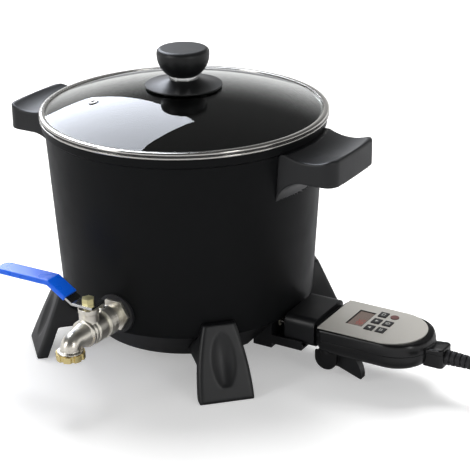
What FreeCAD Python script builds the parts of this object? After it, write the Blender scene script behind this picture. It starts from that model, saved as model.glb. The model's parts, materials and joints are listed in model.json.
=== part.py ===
import FreeCAD, Part
import math
import os
import Sketcher

# Electric candle wax melter: a tapered cast pot on four splayed feet, with a domed glass lid,
# a lever ball valve that drains the wax, and a plug-in temperature controller on its own lead.
# Lengths are in millimetres and angles in degrees. The vessel's axis is vertical; the controller
# and the handles lie along X, and the valve points along -Y. The table is the plane z = 0.

SIZES = {
    # vessel, measured outside
    "rim_radius": 128.6,
    "rim_height": 220.6,
    "heel_radius": 118.4,
    "underside_height": 46.0,
    "heel_round": 6.0,
    "wall": 2.6,
    "floor_thickness": 3.6,
    "lip_projection": 1.9,
    "lip_depth": 9.0,
    "element_pad_depth": 1.0,
    # cast-in heating element and its terminals
    "element_ring_radius": 78.0,
    "element_radius": 4.0,
    "element_bend": 12.0,
    "terminal_spacing": 28.0,
    "element_leg_end": 103.0,
    "terminal_radius": 2.5,
    "terminal_end": 136.0,
    "bush_radius": 4.6,
    "well_width": 13.0,
    "well_start": 79.0,
    "well_end": 89.8,
    # base ring
    "ring_top_radius": 113.0,
    "ring_bottom_radius": 90.0,
    "ring_bottom_height": 19.0,
    "ring_wall": 2.5,
    "ring_flange": 12.0,
    # feet
    "foot_reach": 152.0,
    "foot_edge_inset": 0.2,
    "foot_edge_height": 3.0,
    "foot_top_reach": 125.8,
    "foot_top_height": 64.0,
    "foot_toe": 10.2,
    "foot_arm_height": 28.5,
    "foot_half_width": 25.2,
    "foot_flare_radius": 220.0,
    "foot_top_half_width": 14.6,
    "foot_round": 3.0,
    "scoop_height": 35.0,
    "scoop_half_length": 24.0,
    "foot_screw_reach": 107.0,
    "screw_radius": 2.0,
    "screw_head_radius": 3.8,
    "screw_head_height": 2.4,
    # handles
    "handle_reach": 176.0,
    "handle_drop": 6.6,
    "handle_thickness": 24.0,
    "handle_dish": 3.6,
    "handle_half_width": 41.5,
    "handle_corner": 12.0,
    "handle_face_radius": 600.0,
    "handle_edge": 1.8,
    "gusset_height": 24.0,
    "gusset_reach": 150.0,
    "handle_screw_reach": 160.0,
    "handle_screw_offset": 20.0,
    "handle_screw_depth": 10.0,
    # drain valve
    "valve_height": 67.5,
    "valve_across_flats": 27.0,
    "gasket_radius": 18.5,
    "gasket_thickness": 2.14,
    "hex_thickness": 2.8,
    "stem_reach": 35.4,
    "barrel_back": 25.5,
    "tail_back": 18.0,
    "barrel_front": 15.0,
    "waist_radius": 12.0,
    "chamber_back": 12.0,
    "chamber_front": 0.8,
    "chamber_radius": 13.2,
    "thread_radius": 10.4,
    "tail_bore": 7.0,
    "locknut_thickness": 5.0,
    "inner_gasket_thickness": 2.2,
    "inner_gasket_radius": 14.8,
    "barrel_radius": 14.2,
    "flange_radius": 12.5,
    "flange_thickness": 7.6,
    "flange_reach": 5.5,
    "outlet_reach": 28.6,
    "outlet_root_radius": 9.5,
    "outlet_taper": 5.6,
    "outlet_radius": 8.6,
    "outlet_bend": 9.0,
    "outlet_bottom": 54.6,
    "outlet_bore": 6.5,
    "bore_radius": 5.5,
    "ball_radius": 8.6,
    "ball_flat": 7.4,
    "seat_outer_radius": 7.2,
    "tower_radius": 9.2,
    "tower_top": 89.6,
    "gland_radius": 5.6,
    "gland_depth": 4.0,
    "stem_radius": 3.2,
    "collar_radius": 12.8,
    "collar_bottom": 53.8,
    "collar_height": 5.6,
    "collar_ring_radius": 11.4,
    "collar_ring_height": 1.6,
    "collar_notches": 8,
    "collar_notch": 1.7,
    # valve lever
    "lever_height": 91.2,
    "lever_thickness": 2.4,
    "lever_width": 14.6,
    "lever_heel": 9.0,
    "lever_bend_start": 13.0,
    "lever_bend_end": 37.5,
    "lever_rise": 15.2,
    "lever_length": 93.6,
    "lever_fall": 0.5,
    "lever_corner": 5.6,
    "sleeve_wall": 1.4,
    "sleeve_start": 20.0,
    "lever_nut_flats": 10.0,
    "lever_nut_height": 5.0,
    # lid
    "lid_gap": 0.3,
    "band_radius": 132.5,
        "band_inner_radius": 127.2,
    "band_thickness": 1.2,
    "locating_radius": 125.2,
    "locating_depth": 5.0,
    "glass_thickness": 4.0,
    "dome_rise": 21.0,
    "vent_distance": 83.5,
    "vent_angle": -134.5,
    "vent_radius": 4.6,
    "vent_hole": 2.0,
    # knob
    "knob_plate_radius": 35.2,
    "knob_plate_height": 1.2,
    "knob_plate_rise": 6.6,
    "neck_radius": 13.4,
    "neck_height": 3.0,
    "knob_radius": 24.0,
    "knob_height": 25.0,
    "knob_waist": 13.4,
    "knob_round": 4.0,
    "knob_rim": 5.7,
    "knob_screw_radius": 2.6,
    "knob_washer_radius": 9.0,
    # controller
    "plug_height": 41.0,
    "shroud_start": 121.0,
    "shroud_end": 151.0,
    "shroud_half_width": 29.0,
    "shroud_top": 56.0,
        "shroud_round": 7.0,
    "shroud_wall": 2.4,
    "case_start": 153.5,
    "case_half_width": 35.0,
    "case_nose_start": 219.5,
        "case_bottom": 26.0,
    "case_seam": 42.0,
    "case_top": 52.6,
    "case_wall": 2.2,
    "case_belly_round": 14.0,
    "gland_start": 250.0,
    "gland_end": 268.0,
    "gland_half_width": 10.5,
    "gland_corner": 4.0,
    "gland_round": 1.5,
    "gland_bottom": 29.0,
    "gland_top": 47.0,
    "plate_start": 156.5,
    "plate_half_width": 32.5,
    "plate_nose_start": 213.8,
    "plate_thickness": 1.0,
    "window_start": 174.1,
    "window_length": 16.0,
    "window_centre": 3.2,
    "window_half_width": 15.7,
    "window_ledge": 1.0,
        "board_thickness": 1.6,
    "board_height": 44.6,
    "key_column_start": 197.4,
    "key_column_spacing": 11.0,
    "key_row_centre": 3.8,
    "key_row_spacing": 14.6,
    "key_length": 7.8,
    "key_width": 9.4,
    "power_key_radius": 3.8,
    "key_projection": 0.7,
    "key_gap": 0.3,
    "key_travel": 0.6,
    "probe_radius": 3.0,
    "probe_tip": 84.5,
    "probe_gap": 0.3,
    "sleeve_contact_radius": 4.2,
    # inlet guard
    "guard_start": 90.0,
    "guard_block_end": 109.0,
    "guard_end": 140.0,
        "guard_wall": 2.5,
    "guard_bottom": 21.0,
    "guard_tray": 25.6,
    "guard_side_top": 34.0,
    # release lever under the controller
    "release_pivot": 160.7,
    "release_height": 19.5,
    "release_boss_radius": 10.2,
    "release_offset": 14.3,
    "release_width": 14.0,
    "release_fin_width": 8.0,
    "release_reach": 33.1,
    "release_tail_reach": 10.0,
    "release_tail_drop": 8.0,
    "release_back_reach": 26.4,
    "release_back_rise": 3.1,
    "release_fin_radius": 24.0,
    "release_slot_end": 192.5,
    "release_slot_top": 30.5,
    "release_drop": 15.4,
    "release_pin_radius": 2.0,
    "ear_thickness": 2.4,
    "pin_cover": 0.8,
    "ear_radius": 11.0,
    # strain relief and lead
    "cord_radius": 3.5,
    "relief_height": 37.3,
    "relief_length": 40.0,
    "relief_start_radius": 6.8,
    "relief_end_radius": 5.0,
    "relief_ribs": 7,
    "coil_mean_radius": 38.5,
        "plug_width": 24.0,
    "plug_depth": 21.0,
    "plug_length": 30.0,
    "grommet_length": 14.0,
    "grommet_back_radius": 5.0,
    "grommet_front_radius": 6.5,
    "lip_round": 0.8,
    "pad_half_width": 5.0,
    "loose_fit": 0.2,
    "close_fit": 0.05,
    "moving_gap": 0.3,
    "terminal_tip": 2.0,
    "guard_gap": 0.4,
    "foot_gap": 0.3,
    "scoop_end_radius": 13.0,
    "scoop_sweep_radius": 90.0,
    "gusset_radius": 26.0,
    "dish_margin": 2.5,
    "dish_radius": 44.0,
    "gasket_bite": 4.0,
    "locknut_flats": 26.6,
    "tail_neck_radius": 9.8,
    "flange_gap": 0.8,
    "seat_start": 7.1,
    "seat_end": 9.0,
    "ball_gap": 0.4,
    "stop_width": 6.0,
    "stop_bottom": 86.0,
    "stop_overlap": 1.0,
    "vent_barrel": 3.0,
    "vent_slack": 0.8,
    "vent_flange": 0.8,
    "knob_plate_gap": 1.4,
    "knob_plate_edge": 2.1,
    "knob_plate_curve": 60.0,
    "knob_flare": 22.9,
    "washer_thickness": 1.6,
    "case_corner": 8.0,
    "case_top_round": 2.0,
    "rear_post_x": 163.0,
    "rear_post_y": 27.0,
    "front_post_x": 222.0,
    "front_post_y": 18.0,
    "post_radius": 5.4,
    "post_pin_radius": 4.0,
    "post_screw_top": 48.0,
    "screw_head_top": 31.0,
    "board_start": 157.5,
    "board_end": 228.5,
    "board_half_width": 28.5,
    "key_brim": 1.2,
    "neck_inset": 5.0,
    "shroud_gap": 0.9,
    "sleeve_contact_start": 123.0,
    "release_tip": 1.2,
    "relief_groove": 2.0,
    "relief_depth": 1.3,
    "cord_heading": -25.0,
    "cord_first_run": 31.0,
    "cord_descent": 46.5,
    "cord_last_run": 29.0,
    "plug_bite": 0.3,
    "plug_round": 5.0,
    "blade_length": 17.0,
    "blade_thickness": 1.5,
    "blade_width": 6.3,
    "blade_spacing": 12.7,
    "earth_radius": 2.4,
}

doc = FreeCAD.newDocument("wax_melter")
sheet = doc.addObject("Spreadsheet::Sheet", "dims")


class Size:
    """A length or angle: its number, and the formula over the sheet's cells that gives it."""

    def __init__(self, number, formula=None):
        self.number = float(number)
        self.formula = formula or repr(self.number)

    def __float__(self):
        return self.number

    def __add__(self, other):
        other = sized(other)
        return Size(self.number + other.number, f"({self.formula} + {other.formula})")

    def __radd__(self, other):
        return sized(other) + self

    def __sub__(self, other):
        other = sized(other)
        return Size(self.number - other.number, f"({self.formula} - {other.formula})")

    def __rsub__(self, other):
        return sized(other) - self

    def __mul__(self, other):
        other = sized(other)
        return Size(self.number * other.number, f"({self.formula} * {other.formula})")

    def __rmul__(self, other):
        return sized(other) * self

    def __truediv__(self, other):
        other = sized(other)
        return Size(self.number / other.number, f"({self.formula} / {other.formula})")

    def __neg__(self):
        return Size(-self.number, f"(0 - {self.formula})")


def sized(value):
    return value if isinstance(value, Size) else Size(value)


def root(size):
    return Size(math.sqrt(size.number), f"sqrt({size.formula})")


class Dimensions:
    """The cells of the sheet, each as a Size under its own name."""


d = Dimensions()
for row, (alias, number) in enumerate(SIZES.items(), start=1):
    sheet.set(f"A{row}", alias)
    sheet.set(f"B{row}", str(number))
    sheet.setAlias(f"B{row}", alias)
    setattr(d, alias, Size(number, f"dims.{alias}"))
doc.recompute()

NONE = Size(0)
FULL_TURN = 360
subparts = []

# Sizes that several pieces share.
wall_slope = (d.rim_radius - d.heel_radius) / (d.rim_height - d.underside_height)
lip_radius = d.rim_radius + d.lip_projection
band_bottom = d.rim_height + d.lid_gap
band_top = band_bottom + d.glass_thickness + 2 * d.band_thickness
terminal_y = d.terminal_spacing / 2
element_pad_bottom = d.plug_height + d.element_radius / 2
guard_floor = d.guard_tray + d.guard_wall
shroud_bottom = guard_floor + d.shroud_gap
shroud_floor = d.shroud_end - 2
guard_half_width = d.shroud_half_width + d.guard_wall + 0.5
lever_top = d.lever_height + d.lever_thickness
board_top = d.board_height + d.board_thickness
release_side = d.release_offset - d.release_width / 2 - 2 * d.moving_gap
REVERSE_SLOT = True
ear_near = d.release_offset + d.release_width / 2 + d.moving_gap
ear_far = d.release_offset - d.release_width / 2 - d.moving_gap - d.ear_thickness
PAD_SWEEP = 310


def sine(angle):
    return Size(math.sin(math.radians(angle.number)), f"sin({angle.formula})")


def cosine(angle):
    return Size(math.cos(math.radians(angle.number)), f"cos({angle.formula})")


vent_x = d.vent_distance * cosine(d.vent_angle)
vent_y = d.vent_distance * sine(d.vent_angle)


def wall_radius(height):
    """Outer radius of the vessel's wall at a height."""
    return d.heel_radius + wall_slope * (height - d.underside_height)


# The handles hang from the rim.
handle_top = d.rim_height - d.handle_drop
handle_bottom = handle_top - d.handle_thickness
gusset_bottom = handle_bottom - d.gusset_height

# Distances of the valve's parts from the vessel's axis.
hex_back = wall_radius(d.valve_height) + d.gasket_thickness
hex_front = hex_back + d.hex_thickness
stem_distance = hex_front + d.stem_reach
valve_end = stem_distance - d.barrel_back
tail_end = stem_distance - d.tail_back
barrel_end = stem_distance - d.barrel_front
chamber_start = stem_distance - d.chamber_back
chamber_end = stem_distance + d.chamber_front
flange_distance = stem_distance + d.flange_reach
flange_end = flange_distance + d.flange_thickness / 2
outlet_distance = stem_distance + d.outlet_reach

# The part's origin lies on the table under the middle of the appliance, lead left out.
pot_x = (d.handle_reach - d.gland_end) / 2
pot_y = (outlet_distance + d.collar_radius - d.band_radius) / 2

# The locknut's faces stand where its gasket, flat on one side, reaches the inside of the wall.
inner_wall = wall_radius(d.valve_height) - d.wall
nut_end = root(inner_wall * inner_wall - d.inner_gasket_radius * d.inner_gasket_radius) - d.inner_gasket_thickness
nut_start = nut_end - d.locknut_thickness

ring_slope = (d.ring_top_radius - d.ring_bottom_radius) / (d.underside_height - d.ring_bottom_height)
ring_width = d.ring_wall * root(ring_slope * ring_slope + 1)


def ring_radius(height):
    """Outer radius of the base ring at a height."""
    return d.ring_bottom_radius + ring_slope * (height - d.ring_bottom_height)


# ---------------------------------------------------------------- building helpers

def bind(feature, path, value):
    """Ties a property to the sheet, or sets it where it is a plain number."""
    if isinstance(value, Size) and "dims." in value.formula:
        feature.setExpression(path, value.formula)
    elif path.isalnum():
        setattr(feature, path, float(value))


def place(feature, x=NONE, y=NONE, z=NONE, turn=FreeCAD.Rotation()):
    """Places a feature in the vessel's frame, which the sheet carries to the part's origin."""
    x, y, z = sized(x) + pot_x, sized(y) + pot_y, sized(z)
    feature.Placement = FreeCAD.Placement(FreeCAD.Vector(float(x), float(y), float(z)), turn)
    for letter, value in (("x", x), ("y", y), ("z", z)):
        bind(feature, f"Placement.Base.{letter}", value)


def finish(name, feature):
    """Labels a finished sub-part and keeps it for the export."""
    feature.Label = name
    subparts.append(feature)
    return feature


def new_body(name):
    return doc.addObject("PartDesign::Body", name)


def origin_plane(body, role):
    return [plane for plane in body.Origin.OriginFeatures if plane.Role == role][0]


def new_sketch(body, role="XZ_Plane", offset=None):
    """A sketch on one of the body's own origin planes, moved along its normal by offset."""
    sketch = body.newObject("Sketcher::SketchObject", "Sketch")
    sketch.AttachmentSupport = (origin_plane(body, role), [""])
    sketch.MapMode = "FlatFace"
    if offset is not None:
        sketch.AttachmentOffset = FreeCAD.Placement(FreeCAD.Vector(0, 0, float(offset)), FreeCAD.Rotation())
        bind(sketch, "AttachmentOffset.Base.z", offset)
    return sketch


def hold(sketch, geometry, end, u, v):
    """Holds one point of a sketch at two sizes from its origin."""
    for kind, value in (("DistanceX", sized(u)), ("DistanceY", sized(v))):
        index = sketch.addConstraint(Sketcher.Constraint(kind, -1, 1, geometry, end, float(value)))
        bind(sketch, f"Constraints[{index}]", value)


def outline(sketch, corners):
    """A closed outline through the corners, each (u, v). A corner (u, v, radius, side) starts an
    arc of that radius, which bulges to the left of the outline's run for side 1, right for -1."""
    count = len(corners)
    points = [FreeCAD.Vector(float(c[0]), float(c[1]), 0) for c in corners]
    ends = []
    for i, corner in enumerate(corners):
        start, stop = points[i], points[(i + 1) % count]
        if len(corner) == 2:
            geometry = sketch.addGeometry(Part.LineSegment(start, stop))
            ends.append((geometry, 1, 2))
            continue
        radius, side = corner[2], corner[3]
        chord = stop - start
        left = FreeCAD.Vector(-chord.y, chord.x, 0).normalize()
        rise = float(radius) - math.sqrt(max(0.0, float(radius) ** 2 - chord.Length ** 2 / 4))
        middle = (start + stop) * 0.5 + left * rise * side
        if side > 0:
            geometry = sketch.addGeometry(Part.Arc(stop, middle, start))
            ends.append((geometry, 2, 1))
        else:
            geometry = sketch.addGeometry(Part.Arc(start, middle, stop))
            ends.append((geometry, 1, 2))
        index = sketch.addConstraint(Sketcher.Constraint("Radius", geometry, float(radius)))
        bind(sketch, f"Constraints[{index}]", radius)
    for i in range(count):
        following = ends[(i + 1) % count]
        sketch.addConstraint(Sketcher.Constraint("Coincident", ends[i][0], ends[i][2], following[0], following[1]))
        hold(sketch, ends[i][0], ends[i][1], corners[i][0], corners[i][1])


def rectangle(sketch, u_low, v_low, u_high, v_high):
    outline(sketch, [(u_low, v_low), (u_high, v_low), (u_high, v_high), (u_low, v_high)])


def circle(sketch, u, v, radius):
    centre = FreeCAD.Vector(float(u), float(v), 0)
    geometry = sketch.addGeometry(Part.Circle(centre, FreeCAD.Vector(0, 0, 1), float(radius)))
    hold(sketch, geometry, 3, u, v)
    index = sketch.addConstraint(Sketcher.Constraint("Radius", geometry, float(radius)))
    bind(sketch, f"Constraints[{index}]", radius)


def extruded(body, kind, sketch, length, symmetric, reverse):
    before = body.Shape.Volume if body.Tip else 0
    feature = body.newObject(f"PartDesign::{kind}", kind)
    feature.Profile = sketch
    if length is None:
        feature.Type = "ThroughAll"
    else:
        feature.Length = float(length)
        bind(feature, "Length", sized(length))
    if symmetric:
        feature.SideType = "Symmetric"
    feature.Reversed = reverse
    doc.recompute()
    changed = body.Shape.Volume - before
    if (changed > 0) != (kind == "Pad"):
        raise ValueError(f"{body.Label}: {kind} changes the volume by {changed:.1f}")
    return feature


def pad(body, sketch, length, symmetric=False, reverse=False):
    return extruded(body, "Pad", sketch, length, symmetric, reverse)


def pocket(body, sketch, length=None, symmetric=False, reverse=False):
    return extruded(body, "Pocket", sketch, length, symmetric, reverse)


def turned(body, kind, sketch, axis="V_Axis", angle=FULL_TURN):
    before = body.Shape.Volume if body.Tip else 0
    feature = body.newObject(f"PartDesign::{kind}", kind)
    feature.Profile = sketch
    feature.ReferenceAxis = (sketch, [axis])
    feature.Midplane = True
    feature.Angle = float(angle)
    doc.recompute()
    changed = body.Shape.Volume - before
    if (changed > 0) != (kind == "Revolution"):
        raise ValueError(f"{body.Label}: {kind} changes the volume by {changed:.1f}")
    return feature


def revolve(body, sketch, axis="V_Axis", angle=FULL_TURN):
    return turned(body, "Revolution", sketch, axis, angle)


def groove(body, sketch, axis="V_Axis", angle=FULL_TURN):
    return turned(body, "Groove", sketch, axis, angle)


def round_edges(body, radius, chosen, kind="Fillet"):
    """Rounds or chamfers the edges of the body's last feature that chosen(edge) picks."""
    shape = body.Tip.Shape
    names = [f"Edge{i}" for i, edge in enumerate(shape.Edges, start=1) if chosen(edge)]
    if not names:
        raise ValueError(f"{body.Label}: no edge to round")
    tip = body.Tip
    feature = body.newObject(f"PartDesign::{kind}", kind)
    feature.Base = (tip, names)
    path = "Radius" if kind == "Fillet" else "Size"
    setattr(feature, path, float(radius))
    bind(feature, path, sized(radius))
    doc.recompute()
    return feature


def pattern(body, features, count):
    """Repeats features of a body round its Z axis."""
    repeat = body.newObject("PartDesign::PolarPattern", "PolarPattern")
    repeat.Originals = features
    repeat.Axis = ([axis for axis in body.Origin.OriginFeatures if axis.Role == "Z_Axis"][0], [""])
    repeat.Angle = FULL_TURN
    repeat.Occurrences = int(count)
    body.Tip = repeat
    doc.recompute()
    return repeat


def near(value, target, margin=0.02):
    return abs(value - float(target)) < margin


def middle_of(edge):
    low, high = edge.ParameterRange
    return edge.valueAt((low + high) / 2)


def flat_at(axis, target):
    """Chooses edges that lie wholly in the plane where x, y or z is target."""
    low, high = axis.upper() + "Min", axis.upper() + "Max"
    return lambda edge: near(getattr(edge.BoundBox, low), target) and near(getattr(edge.BoundBox, high), target)


def along(axis, edge):
    """True for a straight edge that runs along an axis."""
    if edge.Curve.TypeId != "Part::GeomLine":
        return False
    return abs(getattr(edge.Curve.Direction, axis)) > 0.999


def cylinder(name, radius, length):
    feature = doc.addObject("Part::Cylinder", name)
    bind(feature, "Radius", sized(radius))
    bind(feature, "Height", sized(length))
    return feature


def cone(name, low_radius, high_radius, length):
    feature = doc.addObject("Part::Cone", name)
    bind(feature, "Radius1", sized(low_radius))
    bind(feature, "Radius2", sized(high_radius))
    bind(feature, "Height", sized(length))
    return feature


def box(name, length, width, height):
    feature = doc.addObject("Part::Box", name)
    bind(feature, "Length", sized(length))
    bind(feature, "Width", sized(width))
    bind(feature, "Height", sized(height))
    return feature


def hexagon(name, across_flats, length):
    feature = doc.addObject("Part::Prism", name)
    feature.Polygon = 6
    bind(feature, "Circumradius", sized(across_flats) / math.sqrt(3))
    bind(feature, "Height", sized(length))
    return feature


def fused(name, shapes):
    feature = doc.addObject("Part::MultiFuse", name)
    feature.Shapes = shapes
    return feature


def cut(name, base, tools):
    feature = doc.addObject("Part::Cut", name)
    feature.Base = base
    feature.Tool = tools[0] if len(tools) == 1 else fused(name + "_tools", tools)
    return feature


def group(name, members):
    feature = doc.addObject("Part::Compound", name)
    feature.Links = members
    return feature


def about(x, y, z, angle):
    return FreeCAD.Rotation(FreeCAD.Vector(x, y, z), angle)


# Turns that lay a primitive's own Z axis along +X, along -Y, or straight down.
TO_X = about(0, 1, 0, 90)
TO_MINUS_Y = about(1, 0, 0, 90)
TO_DOWN = about(1, 0, 0, 180)
POINT_UP = about(0, 0, 1, 30)
ELBOW_TURN = FreeCAD.Rotation(FreeCAD.Vector(0, 0, 1), FreeCAD.Vector(0, -1, 0), FreeCAD.Vector(1, 0, 0), "ZXY")
FOOT_ANGLES = {"front_right": -45, "front_left": -135, "rear_left": 135, "rear_right": 45}


# ---------------------------------------------------------------- vessel, element and base

def pot_vessel():
    """Cast vessel: tapered wall, flat floor, raised lip, drain hole and a grooved element pad."""
    body = new_body("pot_vessel")
    floor_top = d.underside_height + d.floor_thickness
    lip_start = d.rim_height - d.lip_depth
    sketch = new_sketch(body)
    outline(sketch, [
        (0, d.underside_height),
        (d.heel_radius, d.underside_height),
        (wall_radius(lip_start), lip_start),
        (lip_radius, lip_start + d.lip_projection),
        (lip_radius, d.rim_height),
        (d.rim_radius - d.wall, d.rim_height),
        (wall_radius(floor_top) - d.wall, floor_top),
        (0, floor_top),
    ])
    revolve(body, sketch)
    round_edges(body, d.heel_round, flat_at("z", d.underside_height))
    round_edges(body, d.lip_round, flat_at("z", d.rim_height))
    sketch = new_sketch(body)
    rectangle(sketch, -d.element_ring_radius - d.pad_half_width, element_pad_bottom,
              -d.element_ring_radius + d.pad_half_width, d.underside_height + 1)
    revolve(body, sketch, angle=PAD_SWEEP)
    sketch = new_sketch(body)
    circle(sketch, -d.element_ring_radius, d.plug_height, d.element_radius)
    groove(body, sketch, angle=PAD_SWEEP + 4)
    sketch = new_sketch(body)
    circle(sketch, 0, d.valve_height, d.thread_radius + d.loose_fit)
    pocket(body, sketch, reverse=True)
    place(body)
    return finish("pot_vessel", body)


def heating_element():
    """Tubular element: a ring under the floor whose two ends bend out to the inlet."""
    ring, bend, leg_y = float(d.element_ring_radius), float(d.element_bend), float(terminal_y)
    centre_y = leg_y + bend
    centre_x = math.sqrt((ring + bend) ** 2 - centre_y ** 2)
    touch = ring / (ring + bend)
    leg_end = float(d.element_leg_end)
    diagonal = math.sqrt(0.5)
    edges = []
    for side in (1, -1):
        start = FreeCAD.Vector(leg_end, side * leg_y, 0)
        bend_start = FreeCAD.Vector(centre_x, side * leg_y, 0)
        bend_end = FreeCAD.Vector(centre_x * touch, side * centre_y * touch, 0)
        centre = FreeCAD.Vector(centre_x, side * centre_y, 0)
        halfway = ((bend_start + bend_end) * 0.5 - centre).normalize() * bend + centre
        far = FreeCAD.Vector(-ring * diagonal, side * ring * diagonal, 0)
        back = FreeCAD.Vector(-ring, 0, 0)
        pieces = [Part.makeLine(start, bend_start), Part.Arc(bend_start, halfway, bend_end).toShape(),
                  Part.Arc(bend_end, far, back).toShape()]
        edges.extend(pieces if side > 0 else reversed(pieces))
    feature = doc.addObject("Part::Feature", "heating_element")
    section = Part.Wire(Part.makeCircle(float(d.element_radius), FreeCAD.Vector(leg_end, leg_y, 0),
                                        FreeCAD.Vector(1, 0, 0)))
    feature.Shape = Part.Wire(edges).makePipeShell([section], True, True)
    place(feature, z=d.plug_height)
    return finish("heating_element", feature)


def element_terminals():
    """The element's two cold pins, which the controller's contacts take."""
    pins = []
    for side in (1, -1):
        pin = cylinder("terminal", d.terminal_radius, d.terminal_end - d.element_leg_end - d.terminal_tip)
        place(pin, d.element_leg_end, terminal_y * side, d.plug_height, TO_X)
        tip = cone("terminal_tip", d.terminal_radius, d.terminal_radius / 2, d.terminal_tip)
        place(tip, d.terminal_end - d.terminal_tip, terminal_y * side, d.plug_height, TO_X)
        pins.append(fused("terminal_pin", [pin, tip]))
    return finish("element_terminals", group("element_terminals", pins))


def terminal_bushes():
    """Insulating bushes that carry the element's ends through the inlet guard."""
    bushes = []
    for side in (1, -1):
        length = d.guard_block_end - d.guard_start
        outer = cylinder("bush", d.bush_radius, length)
        leg = cylinder("bush_leg", d.element_radius, d.element_leg_end - d.guard_start)
        pin = cylinder("bush_pin", d.terminal_radius, length)
        for solid in (outer, leg, pin):
            place(solid, d.guard_start, terminal_y * side, d.plug_height, TO_X)
        bushes.append(cut("terminal_bush", outer, [leg, pin]))
    return finish("terminal_bushes", group("terminal_bushes", bushes))


def probe_well():
    """Block under the floor that takes the controller's temperature probe."""
    length = d.well_end - d.well_start
    block = box("well_block", length, d.well_width, 2 * (d.underside_height - d.plug_height))
    place(block, d.well_start, -d.well_width / 2, 2 * d.plug_height - d.underside_height)
    bore = cylinder("well_bore", d.probe_radius + d.probe_gap, length)
    place(bore, d.well_start, 0, d.plug_height, TO_X)
    return finish("probe_well", cut("probe_well", block, [bore]))


def inlet_guard():
    """Moulded guard round the inlet: a block the bushes pass through and a tray with side walls."""
    body = new_body("inlet_guard")
    sketch = new_sketch(body)
    outline(sketch, [
        (d.guard_start, d.guard_bottom),
        (d.guard_block_end, d.guard_bottom),
        (d.guard_block_end, d.guard_tray),
        (d.guard_end, d.guard_tray),
        (d.guard_end, d.guard_side_top),
        (d.guard_block_end, d.guard_side_top),
        (d.guard_block_end, d.underside_height),
        (d.guard_start, d.underside_height),
    ])
    pad(body, sketch, 2 * guard_half_width, symmetric=True)
    sketch = new_sketch(body)
    rectangle(sketch, d.guard_block_end, guard_floor, d.guard_end + 1, d.guard_side_top + 1)
    pocket(body, sketch, 2 * (guard_half_width - d.guard_wall), symmetric=True)
    sketch = new_sketch(body, "YZ_Plane")
    circle(sketch, 0, d.plug_height, d.probe_radius + d.probe_gap)
    for side in (1, -1):
        circle(sketch, terminal_y * side, d.plug_height, d.bush_radius)
    pocket(body, sketch, symmetric=True)
    place(body)
    return finish("inlet_guard", body)


def base_ring():
    """Conical skirt under the vessel with a flange the feet are screwed to."""
    body = new_body("base_ring")
    flange_bottom = d.underside_height - d.ring_wall
    sketch = new_sketch(body)
    outline(sketch, [
        (d.ring_bottom_radius - ring_width, d.ring_bottom_height),
        (d.ring_bottom_radius, d.ring_bottom_height),
        (d.ring_top_radius, d.underside_height),
        (d.ring_top_radius - d.ring_flange, d.underside_height),
        (d.ring_top_radius - d.ring_flange, flange_bottom),
        (ring_radius(flange_bottom) - ring_width, flange_bottom),
    ])
    revolve(body, sketch)
    sketch = new_sketch(body, "YZ_Plane")
    reach = guard_half_width + d.guard_gap
    rectangle(sketch, -reach, d.ring_bottom_height - 1, reach, d.underside_height + 1)
    pocket(body, sketch, reverse=True)
    sketch = new_sketch(body, "XY_Plane")
    for angle in FOOT_ANGLES.values():
        turn = Size(angle)
        circle(sketch, d.foot_screw_reach * cosine(turn), d.foot_screw_reach * sine(turn),
               d.screw_radius + d.close_fit)
    pocket(body, sketch, symmetric=True)
    place(body)
    return finish("base_ring", body)


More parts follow.
